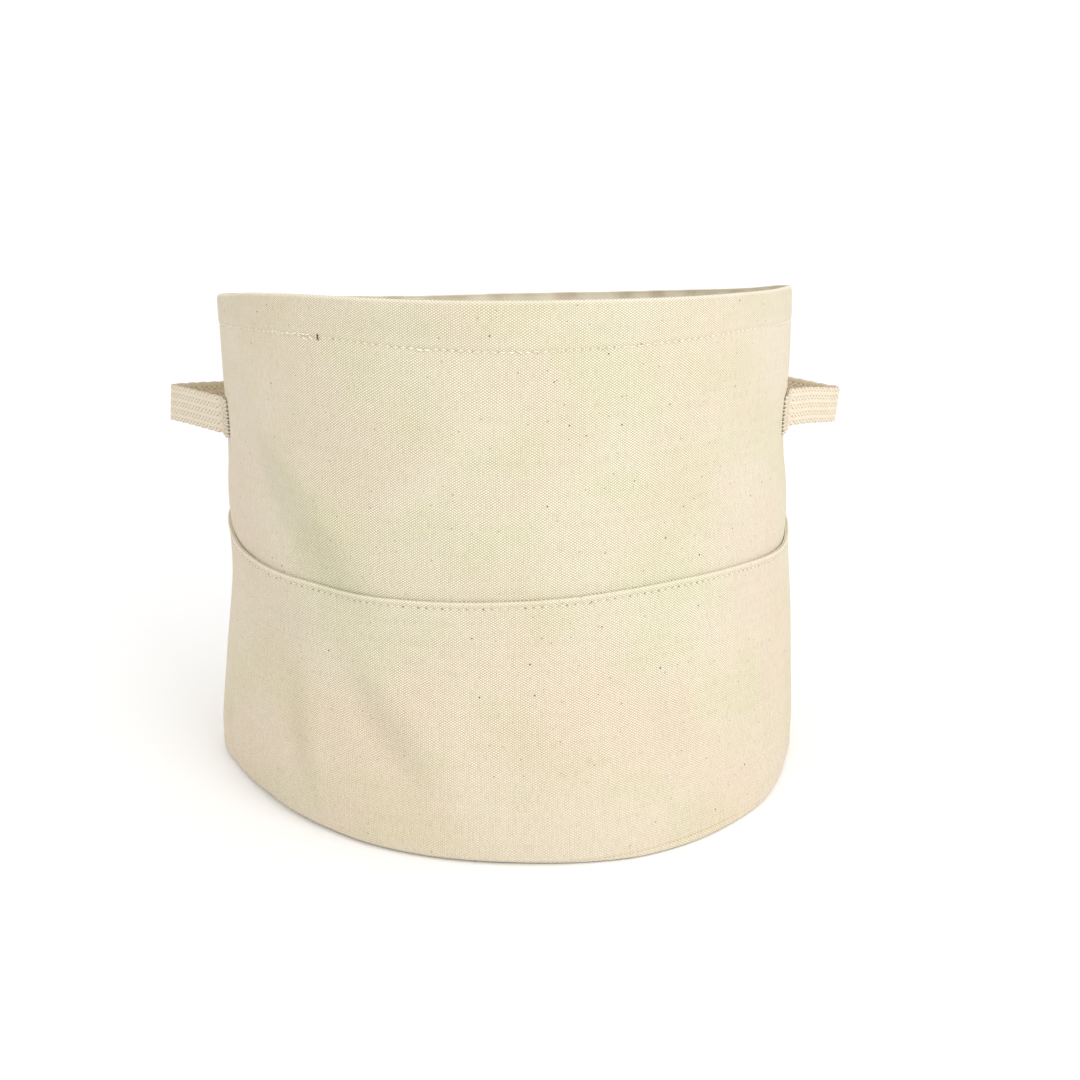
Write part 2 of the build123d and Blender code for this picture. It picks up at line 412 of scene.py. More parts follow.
def tints_and_painted_shade(cloth, colour, where, side, crease, height):
    """Painted shade along the creases, warmth, faint clouds and painted light over the weave's colour."""
    cloud = cloth.ramp(cloth.noise(where, 15.0, 3.0), 0.38, 0.62)
    blush = cloth.ramp(cloth.noise(cloth.stretched(where, 1.0, 1.4), 19.0, 2.0), 0.45, 0.62)
    middle = cloth.sum("MULTIPLY", cloth.ramp(height, 80.0, 115.0), cloth.ramp(side, 0.13, 0.08))
    # the first blend is painted shade along the creases; the rest are tints of the cloth
    for amount, blend_colour in (
        (cloth.ramp(crease, 0.0, 3.2, 0.0, 0.8), CREASE_SHADE),
        (cloth.ramp(height, 105.0, 55.0), pale(1.0, 0.982, 0.958)),
        (middle, pale(0.98, 1.0, 0.975)),
        (cloth.ramp(side, 0.08, 0.16), pale(1.0, 0.985, 0.978)),
        (cloud, pale(1.0, 0.965, 0.96)),
        (blush, pale(0.965, 0.985, 0.93)),
    ):
        colour = cloth.tint(amount, colour, blend_colour, "MULTIPLY")
    # painted light where the amount is below 0: over the inside faces and along the light creases
    return cloth.tint(cloth.ramp(crease, 0.0, -3.2, 0.0, 1.0), colour, PAINTED_LIGHT)


print("canvas colour from", WEAVE_GAP_SHADE[:3], "to", CROWN_HIGHLIGHT[:3])

# %% [markdown]
# ## The canvas material
# The material joins the colour, the specks, the stitch marks and the bump. It could be
# simpler, with one colour and one roughness, but plain cotton shows its making close
# up. Cotton fuzz gives it a faint sheen and no gloss.

# %% Canvas material
HOLE_DEPTH = 1.5


def cotton_duck(name):
    """The finish of the canvas."""
    cloth = Finish(name)
    where, u_place, v_place = uv_place(cloth, "cloth")
    _, crease, height = uv_place(cloth, "shade_and_height")
    side = cloth.sum("ABSOLUTE", u_place)
    weave, lit, upright, level = yarn_grid(cloth, where, u_place, v_place)
    colour = woven_colour(cloth, where, lit, upright, level, side, height)
    colour = tints_and_painted_shade(cloth, colour, where, side, crease, height)
    for spacing, size, share, strength in HUSK_SIZES:
        speck = seed_specks(cloth, where, spacing * MM, size * MM, share)
        colour = cloth.tint(cloth.sum("MULTIPLY", speck, strength), colour, HUSK)
    hole, groove, edge_highlight = needle_row(cloth)
    colour = cloth.tint(cloth.sum("MULTIPLY", groove, 0.13), colour, GROOVE_SHADE)
    colour = cloth.tint(cloth.sum("MULTIPLY", hole, 0.85), colour, HOLE_SHADE)
    colour = cloth.tint(cloth.sum("MULTIPLY", edge_highlight, 0.55), colour, EDGE_HIGHLIGHT)
    cloth.feed(cloth.shader.inputs["Base Color"], colour)
    cloth.shader.inputs["Roughness"].default_value = 0.92
    cloth.shader.inputs["Sheen Weight"].default_value = 0.10
    cloth.shader.inputs["Sheen Roughness"].default_value = 0.5
    cloth.shader.inputs["Specular IOR Level"].default_value = 0.25
    fuzz = cloth.sum("MULTIPLY", cloth.noise(where, 2400.0, 2.0), 0.35)
    rough = cloth.sum("ADD", weave, fuzz)
    cloth.emboss(cloth.sum("SUBTRACT", rough, cloth.sum("MULTIPLY", hole, HOLE_DEPTH)), WEAVE_DEPTH)
    return cloth.material


canvas = cotton_duck("cotton_duck")
print("canvas finish", canvas.name, "with", len(canvas.node_tree.nodes), "nodes")

# %% [markdown]
# ## Thread and tape finishes
# Sewing thread and twill tape are both cotton whose yarns show a slanting twist, wide on the tape and tight
# on the thread. The twist could be modelled, but it is finer than the thread's own roundness, so a slanting
# wave in the bump, with painted shade in its low parts, is enough.
# The tack thread has gone duller, and one cut end of the rim thread is burnt dark.

# %% Thread and tape finishes


def twisted_cotton(name, colour, dark, twist, slant, depth):
    """Cotton whose yarns show a slanting twist at a spacing, with painted shade in the twist's low parts."""
    cotton = Finish(name)
    where, u_place, v_place = uv_place(cotton, "cloth")
    lean = cotton.sum("MULTIPLY", v_place, slant)
    along = cotton.sum("DIVIDE", cotton.sum("ADD", u_place, lean), twist)
    wander = cotton.sum("MULTIPLY", cotton.noise(where, 300.0, 3.0), 2.5)
    turn = cotton.sum("SINE", cotton.sum("ADD", cotton.sum("MULTIPLY", along, 2 * np.pi), wander))
    height = cotton.sum("MULTIPLY_ADD", turn, 0.5, 0.5)
    # painted shade in the low parts of the twist
    shade = cotton.tint(cotton.ramp(height, 0.0, 0.8), dark, colour)
    cloud = cotton.ramp(cotton.noise(where, 140.0, 3.0), 0.35, 0.7)
    shade = cotton.tint(cloud, shade, pale(0.95, 0.95, 0.93), "MULTIPLY")
    cotton.feed(cotton.shader.inputs["Base Color"], shade)
    dry_cotton(cotton, 0.15)
    cotton.emboss(cotton.sum("MULTIPLY_ADD", cotton.noise(where, 3000.0), 0.4, height), depth)
    return cotton.material


def twisted_thread(name, colour, dark):
    """Sewing thread in its colour, with a second colour for the painted shade in its twist."""
    return twisted_cotton(name, colour, dark, 0.5 * MM, 0.8, 0.03 * MM)


tape = twisted_cotton("twill_tape", pale(0.72, 0.65, 0.50), pale(0.56, 0.50, 0.37), 0.8 * MM, 1.0, 0.08 * MM)
thread = twisted_thread("sewing_thread", pale(0.97, 0.91, 0.77), pale(0.80, 0.73, 0.58))
tack_thread = twisted_thread("tack_thread", pale(0.80, 0.72, 0.57), pale(0.64, 0.57, 0.43))
burnt_thread = twisted_thread("burnt_thread", pale(0.13, 0.10, 0.06), pale(0.07, 0.05, 0.03))
print("thread and tape finishes:", thread.name, tack_thread.name, burnt_thread.name, tape.name)

# %% [markdown]
# ## Webbing finish
# Heavy webbing is woven in ribs that run along the strap, and between the ribs the twist leaves rows of
# short slanting gaps that lie in shade. The ribs' relief is real geometry further down. The gaps are too
# fine for it, so their shade is painted here as dark dashes on the same rib and twist spacings, and the two
# agree.

# %% Webbing finish
RIB = 2.04
TWIST = 3.3
RIB_SWAY = 0.24


def twist_gap_shade(strap, where, u_place, v_place):
    """Painted shade in the gaps between the ribs, and the count of twists along the strap."""
    twists = strap.sum("DIVIDE", u_place, TWIST * MM)
    wander = strap.sum("MULTIPLY", strap.noise(where, 160.0, 3.0), 0.7)
    beat = strap.sum("MULTIPLY", strap.sum("ADD", twists, wander), 2 * np.pi)
    sway = strap.sum("MULTIPLY_ADD", strap.sum("SINE", beat), RIB_SWAY, 0.5)
    rib = strap.sum("ADD", strap.sum("DIVIDE", v_place, RIB * MM), sway)
    off = strap.sum("ABSOLUTE", strap.sum("SUBTRACT", strap.sum("FRACT", rib), 0.5))
    between = strap.ramp(off, 0.20, 0.42)
    next_rib = strap.sum("ADD", rib, 0.5)
    lean = strap.sum("MULTIPLY", strap.sum("FLOOR", next_rib), 0.5)
    slant = strap.sum("MULTIPLY", strap.sum("FRACT", next_rib), 0.5)
    turn = strap.sum("ADD", twists, strap.sum("ADD", lean, slant))
    dash = strap.sum("COSINE", strap.sum("MULTIPLY", strap.sum("ADD", turn, wander), 2 * np.pi))
    return strap.sum("MULTIPLY", between, strap.ramp(dash, -0.5, 0.9, 0.16, 1.0)), turn


def ribbed_webbing(name, colour, dark):
    """Heavy webbing with painted shade in the twist gaps between its ribs."""
    strap = Finish(name)
    where, u_place, v_place = uv_place(strap, "cloth")
    rib_gap_shade, turn = twist_gap_shade(strap, where, u_place, v_place)
    # painted shade in the gaps between the ribs
    shade = strap.tint(strap.sum("MULTIPLY", rib_gap_shade, 0.60), colour, dark)
    fine = strap.sum("SINE", strap.sum("MULTIPLY", turn, 4 * np.pi))
    shade = strap.tint(strap.ramp(fine, -0.8, 0.8), shade, pale(0.93, 0.92, 0.90), "MULTIPLY")
    cloud = strap.ramp(strap.noise(where, 140.0, 3.0), 0.40, 0.64)
    shade = strap.tint(cloud, shade, pale(1.0, 0.955, 0.955), "MULTIPLY")
    strap.feed(strap.shader.inputs["Base Color"], shade)
    dry_cotton(strap, 0.12)
    hair = strap.sum("MULTIPLY", strap.noise(where, 2600.0), 0.4)
    height = strap.sum("SUBTRACT", strap.sum("MULTIPLY_ADD", fine, 0.10, hair), rib_gap_shade)
    strap.emboss(height, 0.25 * MM)
    return strap.material


webbing = ribbed_webbing("cotton_webbing", pale(0.765, 0.685, 0.54), pale(0.36, 0.30, 0.19))
print("webbing finish", webbing.name)

# %% [markdown]
# ## Smooth lines from a few knots
# A pattern cutter sets a line by a few marks and joins them with a bendy rule. Blender's
# own curves could hold such a line, but their values are awkward to ask for at any
# angle, so the rule here is a small cubic that never overshoots its marks.

# %% Smooth lines


def smooth_line(knots):
    """A smooth curve through given (place, value) knots that never overshoots them."""
    place, value = np.array(knots, float).T
    step = np.diff(place)
    slope = np.diff(value) / step
    tangent = np.zeros_like(value)
    same = slope[:-1] * slope[1:] > 0
    both = slope[:-1] + slope[1:]
    tangent[1:-1][same] = 2 * (slope[:-1] * slope[1:])[same] / both[same]

    def line(at):
        at = np.clip(at, place[0], place[-1])
        i = np.clip(np.searchsorted(place, at) - 1, 0, len(step) - 1)
        t = (at - place[i]) / step[i]
        low = value[i] * (1 + 2 * t) * (1 - t) ** 2 + tangent[i] * step[i] * t * (1 - t) ** 2
        return low + value[i + 1] * t * t * (3 - 2 * t) + tangent[i + 1] * step[i] * t * t * (t - 1)

    return line


def round_line(knots):
    """A smooth line round the bucket, by angle in degrees from the front, right side positive."""
    last = knots[-1]
    first = knots[0]
    closed = [(last[0] - 360, last[1])] + knots + [(first[0] + 360, first[1])]
    line = smooth_line(closed)
    return lambda angle: line(np.mod(np.degrees(angle) + 90, 360) - 90)


print("halfway between marks 0 and 2:", smooth_line([(0, 0.0), (1, 2.0)])(0.5))

# %% [markdown]
# ## Lines of the real bucket
# Sewn canvas is never a clean cone. A maker's eye reads it as a few lines: how wide the cloth stands at each
# height, how the rim rises and dips round the mouth, where the hem row and the pocket edge run, and where
# the foot is kicked out or tucked under. Each line is set at a few places. Girths go by height, the rest by
# angle from the front, and all values are millimetres.

# %% Lines of the bucket
band_girth = smooth_line([
    (0, 159.4), (16, 159.2), (30, 158.0), (43, 156.4), (57, 154.9), (70, 153.5), (84, 152.2), (97, 151.2),
    (110, 150.6), (126, 150.1), (140, 150.0)])
wall_girth = smooth_line([
    (0, 158.2), (6, 158.1), (16, 157.3), (30, 155.7), (43, 154.1), (57, 152.6), (70, 151.2), (84, 149.9),
    (97, 149.1), (106, 148.7), (116, 148.6), (125, 148.8), (136, 148.5), (148, 147.6), (160, 146.5),
    (172, 146.2), (204, 146.8), (228, 146.6), (246, 146.5)])
rim_line = round_line([
    (-90, 239.6), (-65, 240.9), (-50, 242.6), (-40, 242.7), (-25, 241.8), (-10, 241.0), (0, 240.9),
    (15, 241.2), (30, 241.7), (45, 242.7), (58, 243.4), (76, 244.3), (92, 243.4), (110, 240.7),
    (135, 238.2), (152, 236.6), (168, 235.6), (182, 234.9), (200, 233.9), (215, 234.2), (245, 236.8)])
hem_row_line = round_line([
    (-90, 225.0), (-60, 226.6), (-44, 226.2), (-30, 224.6), (-17, 221.9), (0, 220.5), (18, 221.8),
    (32, 223.8), (48, 226.5), (75, 227.6), (95, 225.8), (135, 220.4), (180, 217.2), (225, 217.0),
    (255, 221.0)])
pocket_line = round_line([
    (-90, 129.5), (-80, 128.2), (-72, 125.2), (-64, 120.8), (-56, 118.6), (-48, 117.2), (-40, 116.2),
    (-28, 114.7), (-14, 115.0), (0, 116.0), (10, 117.0), (20, 118.6), (32, 119.6), (45, 119.4),
    (57, 118.0), (66, 117.4), (74, 119.6), (90, 126.0), (105, 122.0), (125, 118.0), (150, 116.0),
    (180, 115.4), (210, 116.2), (235, 118.6), (255, 125.0)])
foot_kick = round_line([
    (-90, -1.0), (-78, -0.6), (-65, -5.0), (-52, -6.5), (-42, -4.6), (-33, -2.6), (-24, 0.2), (-15, 2.2),
    (0, 5.0), (12, 8.6), (20, 10.2), (28, 9.4), (38, 7.4), (48, 6.0), (58, 2.0), (68, -1.0), (78, -1.2),
    (95, 0.0), (180, 1.0), (240, 0.5)])
print("pocket edge", [round(float(pocket_line(np.radians(a))), 1) for a in (-75, 0, 75)], "mm up")

# %% [markdown]
# ## Broad dents
# A stiff canvas wall stands in broad shallow dents. Cloth simulation could find such
# dents, but it would also let the bucket slump off its measured lines, so the dents are
# crossed waves that close on themselves round the bucket.

# %% Broad dents


def soft_dents(angle, height, seed, count=14, turns=7, swell=0.9):
    """Broad shallow dents in millimetres: crossed waves with seeded directions."""
    dice = np.random.default_rng(seed)
    dent = np.zeros(np.broadcast(angle, height).shape)
    for _ in range(count):
        around = dice.integers(1, turns + 1) * dice.choice((-1, 1))
        upward = dice.uniform(-0.045, 0.045)
        phase = dice.uniform(0, 2 * np.pi)
        dent = dent + np.cos(around * angle + upward * height + phase) * dice.uniform(0.4, 1.0)
    return swell * dent / np.sqrt(count)


def hill(value, centre, width):
    """A smooth hill of height 1."""
    return np.exp(-(((value - centre) / width) ** 2))


def degrees_from_front(angle):
    """An angle in degrees from the front, from -180 to 180, right side positive."""
    return np.mod(np.degrees(angle) + 180, 360) - 180


DENT_SEED = 5
some_angles = np.linspace(-3.1, 3.1, 90)[:, None]
some_heights = np.arange(0, 240, 5.0)
print("deepest dent", soft_dents(some_angles, some_heights, DENT_SEED).min().round(2), "mm")

# %% [markdown]
# ## Slanting creases
# Folding and carrying leave slanting creases, with painted shade along them, and painted light along the few
# with a depth below 0. Sculpting would do as well, but a short table is easier to correct: each crease is a
# soft S across its width, so one flank turns to the light and the other away from it.

# %% Slanting creases
CREASES = (
    # degrees from the front, height mm, slope in degrees, length mm, width mm, depth mm
    (-40, 148, -44, 44, 14, 4.4),
    (-20, 58, -52, 32, 12, 3.2),
    (-38, 42, -74, 26, 10, 2.6),
    (-15, 230, -6, 42, 10, 1.5),
    (-4, 190, 42, 40, 12, -0.36),
    (-15, 160, 36, 34, 11, -0.36),
    (12, 168, 38, 30, 11, -0.3),
    (34, 196, 60, 30, 13, 0.9),
    (24, 74, -58, 34, 14, 1.1),
    (52, 52, -74, 26, 11, 1.1),
    (160, 160, 50, 40, 13, 2.4),
    (-150, 120, -38, 42, 13, 2.4),
    (-168, 52, -64, 30, 11, 2.0),
    (128, 70, 62, 34, 12, 2.0),
    (-118, 178, -60, 36, 12, 2.0),
    (-42, 96, 80, 34, 24, 2.0),
    (-69, 30, 80, 18, 6, 1.2),
)


def creases(angle, height):
    """Slanting creases: how far they stand the cloth off, and how much painted shade they get (below 0,
    painted light).
    """
    off, crease_shading = 0.0, 0.0
    for degrees, level, slope, length, width, depth in CREASES:
        turn = np.mod(angle - np.radians(degrees) + np.pi, 2 * np.pi) - np.pi
        round_way, up = turn * GIRTH, height - level
        slant = np.radians(slope)
        along = (round_way * np.cos(slant) + up * np.sin(slant)) / length
        across = (up * np.cos(slant) - round_way * np.sin(slant)) / width
        fade = np.exp(-(along**2) - across**2)
        off = off + depth * across * fade
        crease_shading = crease_shading + depth * fade
    return off, crease_shading


print(len(CREASES), "creases, the deepest", max(depth for *_, depth in CREASES), "mm")

# %% [markdown]
# ## The lie of the cloth
# Everything that moves the cloth off its even girth is added up here: it leans a little
# to one side, the foot is kicked out, the handles pull the wall in below them, and the
# back rim ripples where the hem's two layers don't quite match. One sum, shared by the
# wall, the pockets, the tapes and the thread, keeps every layer the same way apart.

# %% The lie of the cloth
LEAN = 2.4
RIPPLE = 1.7
KICK_FADE = 42
CALM_BELOW = 30


def rim_ripple(angle, height):
    """The back rim waves in and out, in millimetres."""
    degrees = degrees_from_front(angle)
    turned = np.radians(degrees)
    wave = np.cos(turned * 26 + 1.4 * np.sin(turned * 5))
    wave = wave + 0.6 * np.cos(turned * 41 + 1) + 0.6 * np.cos(turned * 15)
    return RIPPLE * wave * hill(abs(degrees), 180, 50) * hill(height, 240, 11)


def handle_pull(degrees, height):
    """The wall stands out behind the right handle and in below the left one."""
    out = 1.7 * hill(degrees, 80, 20) * hill(height, 144, 22)
    return out - 1.9 * hill(degrees, -82, 22) * hill(height, 112, 30)


def lie(angle, height):
    """How far the cloth stands off its even girth at a place, in millimetres."""
    lean = LEAN * np.sin(angle) * hill(height, 92, 40)
    kick = foot_kick(angle) * np.exp(-np.maximum(height, 0) / KICK_FADE)
    pull = handle_pull(degrees_from_front(angle), height)
    calm = np.clip(height / CALM_BELOW, 0, 1)
    dents = soft_dents(angle, height, DENT_SEED) + creases(angle, height)[0]
    return lean + kick + pull + rim_ripple(angle, height) + dents * calm


print("the foot's right front stands out", round(float(lie(np.radians(20), 0.0)), 1), "mm")

# %% [markdown]
# ## From points to a piece
# Every cloth piece is worked out as points and faces, then handed to Blender as a mesh.
# Modelling by hand would be quicker to start, but points can be worked out again when a
# line changes. Doubled points are welded, faces are turned outward, and the flat
# patterns are stored as UV maps for the finishes.

# %% Make a piece


def at(angle, radius, height):
    """Points in metres from an angle and millimetres out and up."""
    return np.stack([radius * np.sin(angle), -radius * np.cos(angle), height + 0 * radius], -1) * MM


def make_piece(name, points, faces, finish, flat):
    """A mesh object from points in metres, with its flat pattern as a UV map."""
    mesh = bpy.data.meshes.new(name)
    mesh.from_pydata(points.reshape(-1, 3).tolist(), [], faces)
    corner = np.zeros(len(mesh.loops), np.int64)
    mesh.loops.foreach_get("vertex_index", corner)
    for layer_name, pattern in flat.items():
        layer = mesh.uv_layers.new(name=layer_name)
        layer.data.foreach_set("uv", pattern.reshape(-1, 2)[corner].astype(np.float32).ravel())
    cleaned = bmesh.new()
    cleaned.from_mesh(mesh)
    bmesh.ops.remove_doubles(cleaned, verts=cleaned.verts, dist=1e-7)
    bmesh.ops.recalc_face_normals(cleaned, faces=cleaned.faces)
    cleaned.to_mesh(mesh)
    cleaned.free()
    mesh.shade_smooth()
    mesh.materials.append(finish)
    piece = bpy.data.objects.new(name, mesh)
    bpy.context.scene.collection.objects.link(piece)
    return piece


print("a place at the front, 100 mm up:", at(0.0, GIRTH, 100.0).round(3))

# %% [markdown]
# ## Sweeping a cloth section round
# A wall panel, a pocket band or a tape is one section, the cloth's cut edge, swept
# round the bucket. Extruding a profile along a curve would do for an even ring, but
# here the section changes all the way round. Building the grid point by point keeps
# both faces of the cloth and its real thickness, and the two ends are closed.

# %% Sweep a section


def end_cap(loop):
    """Faces that close a thin section's end, zipped from its two ends to its middle."""
    low, high, cap = 0, len(loop) - 1, []
    while high - low > 2:
        cap.append([int(loop[low]), int(loop[low + 1]), int(loop[high - 1]), int(loop[high])])
        low, high = low + 1, high - 1
    if high - low == 2:
        cap.append([int(loop[low]), int(loop[low + 1]), int(loop[high])])
    return cap


def swept(name, rings, flat, finish, closed=False):
    """A closed cloth body from section rings: rings[station, place in the section]."""
    stations, places = rings.shape[:2]
    number = np.arange(stations * places).reshape(stations, places)
    here = number if closed else number[:-1]
    after = np.roll(number, -1, 0) if closed else number[1:]
    around = np.roll(here, -1, 1), np.roll(after, -1, 1)
    faces = np.stack([here, after, around[1], around[0]], -1).reshape(-1, 4).tolist()
    if not closed:
        faces += end_cap(number[0][::-1]) + end_cap(number[-1])
    return make_piece(name, rings, faces, finish, flat)


print("a six-point section's end is closed by", len(end_cap(np.arange(6))), "faces")

# %% [markdown]
# ## The wall's outer face
# The wall's face is its girth and its lie, with three marks of how it was sewn: the
# panels turn in at the side seams, the bottom edge rounds under where it was turned
# after sewing, and at the right front the base seam shows as a small lip.

# %% The wall's outer face
QUARTER_TURN = np.pi / 2
SEAM_DIP = 0.7
LIP_OUT = 2.1
LIP_HIGH = 3.4


def lip_of_seam(angle):
    """Where the base seam shows as a lip below the pocket cloth: 1 at the right front."""
    degrees = degrees_from_front(angle)
    return hill(degrees, 31, 20) + 0.25 * hill(degrees, -38, 16)


def side_seam_dip(angle):
    """The panels turn in where they meet at the side seams."""
    from_front = np.abs(np.mod(angle + np.pi, 2 * np.pi) - np.pi)
    from_seam = np.abs(from_front - QUARTER_TURN) * GIRTH
    return SEAM_DIP * hill(from_seam, 0, 1.5)


def foot_tuck(angle, height, sweep):
    """The bottom edge is rounded under by a sweep, and more at the left front."""
    round_under = sweep + 2.6 * hill(degrees_from_front(angle), -48, 26)
    left = np.clip(1 - height / round_under, 0, 1)
    return round_under * (1 - np.sqrt(1 - left**2))


def wall_face(angle, height):
    """Radius of the wall's outer face in millimetres."""
    lip = LIP_OUT * lip_of_seam(angle) * np.clip(1 - height / LIP_HIGH, 0, 1) ** 0.5
    face = wall_girth(height) + lie(angle, height) + lip
    return face - side_seam_dip(angle) - foot_tuck(angle, height, 1.6)


print("wall at the front, 100 mm up:", round(float(wall_face(0.0, 100.0)), 1), "mm from the middle")

# %% [markdown]
# ## A panel's section
# Each panel is one ply of duck with its top edge turned in. A solidify modifier would
# thicken a plain sheet, but it can't turn a hem, so the section is drawn whole: up the
# outer face, over the rounded fold, down the turned hem and down the inner face.

# %% A panel's section
PLY = 0.9
FOLD = 1.8
HEM_EDGE = 0.5


def stitch_groove(angle, off_row, depth):
    """A row of stitching pulls the cloth in, most of all at each stitch."""
    beat = 0.8 + 0.2 * np.cos(2 * np.pi * angle * GIRTH / STITCH)
    return depth * hill(off_row, 0, 1.0) * beat


def panel_section(levels, top, turned_from, square=1.0):
    """Levels and depths of a section: outer face, rounded fold, turned hem, inner face."""
    fold = np.linspace(0, np.pi, 9)
    arch = np.sin(fold) ** np.where(fold > QUARTER_TURN, square, 1.0)
    inside = levels[::-1]
    hem = np.clip((inside - turned_from) / HEM_EDGE + 0.5, 0, 1)
    level = np.concatenate([levels, top - PLY + PLY * arch, inside])
    depth = np.concatenate([0 * levels, PLY - PLY * np.cos(fold), PLY + (FOLD - PLY) * hem])
    return level, depth


print("a fold of", FOLD, "mm from cloth of", PLY, "mm")

# %% [markdown]
# ## A panel's levels and flat patterns
# A panel needs fine levels where it bends sharply, at the foot, the stitched row and the hem's edge, and few
# in between. Even fine levels would do, but would quadruple the mesh. Each panel also gets its three flat
# patterns here: the weave, the stitched row, and the painted shade and height. The inner face takes its
# weave from another part of the cloth, so that the two faces don't repeat each other.

# %% A panel's levels and patterns
LEVEL_STEP = 2.6


def even_levels(low, high, step, rows):
    """Levels from low to high at about a step, with finer ones beside each stitched row."""
    levels = list(np.linspace(low, high, int((high - low) / step)))
    for row in rows:
        levels = [level for level in levels if abs(level - row) > 2.9]
        levels += list(row + np.linspace(-2.4, 2.4, 9))
    return np.unique(np.round([level for level in levels if level <= high], 3))


def panel_levels(foot, top, row, turned_from):
    """All the levels of a panel: fine at the foot, the stitched row and the hem's edge."""
    levels = np.concatenate([foot, even_levels(6, top, LEVEL_STEP, [row])])
    return np.union1d(levels, turned_from + np.array([-0.3, 0.0, 0.3]))


def panel_patterns(angle, level, row_level, first_count, crease, height, inner_shift):
    """The three flat patterns of a panel: the cloth's weave, its stitched row, and its painted shade and
    height.
    """
    flat = np.stack([angle * GIRTH + 0 * level, level + inner_shift + 0 * angle], -1) * MM
    count = angle * GIRTH / STITCH + first_count
    row = np.stack([count + 0 * level, level - row_level + 0 * angle], -1)
    shade_and_height = np.stack([crease, height + 0 * angle], -1)
    return {"cloth": flat, "row": row, "shade_and_height": shade_and_height}


print("levels", LEVEL_STEP, "mm apart on the plain cloth")

# %% [markdown]
# ## The wall panels
# The front and the back are cut alike and meet at the side seams, under the handles.
# The top 20 mm is turned in and stitched once round. The panel isn't level all round:
# its flat levels are moved up or down so that the hem row and the rim follow their own
# lines. The rim rolls in a little, the hem is a shade thicker, and the stitching pulls
# both faces in.

# %% Wall panels
HEM_ROW = 220.5
WALL_TOP = 241.0
HEM_DEPTH = 21.4
WALL_STATIONS = 378
WALL_SEAM_GAP = 0.0012
INNER_SHIFT = 300


def wall_height(angle, level):
    """Height of a level of the flat panel once the rim and hem row rise and dip."""
    row, rim = hem_row_line(angle), rim_line(angle)
    below = level * row / HEM_ROW
    above = row + (level - HEM_ROW) * (rim - row) / (WALL_TOP - HEM_ROW)
    return np.where(level < HEM_ROW, below, above)


def half_round(middle, gap):
    """Angles half way round the bucket from seam to seam."""
    return middle + np.linspace(-QUARTER_TURN + gap, QUARTER_TURN - gap, WALL_STATIONS)[:, None]


def wall_panel(name, middle):
    """One wall panel, swept half way round from its own middle angle."""
    angle = half_round(middle, WALL_SEAM_GAP)
    turned_from = WALL_TOP - HEM_DEPTH
    foot = np.array([0.0, 0.5, 1.1, 1.9, 2.9, 4.2])
    levels = panel_levels(foot, WALL_TOP - 1.2, HEM_ROW, turned_from)
    level, depth = panel_section(levels, WALL_TOP, turned_from)
    height = wall_height(angle, level)
    hem_swell = 0.25 * np.clip((level - HEM_ROW) / 2, 0, 1)
    rim_roll = 1.3 * np.clip((level - WALL_TOP + 3.6) / 3.6, 0, 1) ** 2
    groove = stitch_groove(angle, level - HEM_ROW, 0.30)
    pulled = np.where(depth < PLY * 0.9, groove, -groove * 0.6)
    face = wall_face(angle, height) + (hem_swell - rim_roll) - pulled
    inner = depth > PLY * 0.95
    # inside, the amount is painted light, with less of it where the back rim's ripples bulge out
    crease = np.where(inner, 0.9 * rim_ripple(angle, height) - 1.6, creases(angle, height)[1])
    patterns = panel_patterns(angle, level, HEM_ROW, 0, crease, height, INNER_SHIFT * inner)
    return swept(name, at(angle, face - depth, height), patterns, canvas)


front_panel = wall_panel("front_canvas_panel", 0.0)
back_panel = wall_panel("back_canvas_panel", np.pi)
print("wall panel", len(front_panel.data.polygons), "faces")

# %% [markdown]
# ## The pocket band
# The pockets are a second layer sewn round the lower half, caught in the side seams and in the base seam.
# The top edge is turned in and stitched 3 mm down, which rolls it into a small bead, and near the sides it
# gapes a little. It is swept like the wall, with its own edge line.

# %% Pocket panels
POCKET_TOP = 116.0
POCKET_ROW = POCKET_TOP - 3.1
POCKET_HEM = 12.0
POCKET_SEAM_GAP = 0.0022
BEAD = 0.30
POCKET_SHIFT = 400


def band_foot(angle):
    """The band's bottom edge: near the floor, but higher where the seam's lip shows."""
    return 0.5 + 2.5 * np.clip(lip_of_seam(angle), 0, 1)


def band_height(angle, level):
    """Height of a level of the flat band on the bucket."""
    foot, edge = band_foot(angle), pocket_line(angle)
    return foot + level * (edge - foot) / POCKET_TOP


def band_gape(angle, below_edge):
    """The pocket mouth stands off the wall, most near the sides."""
    degrees = np.abs(degrees_from_front(angle))
    degrees = np.minimum(degrees, 180 - degrees)
    return (0.05 + 0.55 * hill(degrees, 63, 11)) * np.exp(-np.maximum(below_edge, 0) / 16)


def band_face(angle, height):
    """Radius of the band's outer face in millimetres."""
    gape = band_gape(angle, pocket_line(angle) - height)
    face = band_girth(height) + lie(angle, height) + gape
    seam_pull = 0.4 * np.clip((0.55 - np.abs(height - band_foot(angle))) / 0.55, 0, 1)
    return face - side_seam_dip(angle) - foot_tuck(angle, height, 2.4) - seam_pull


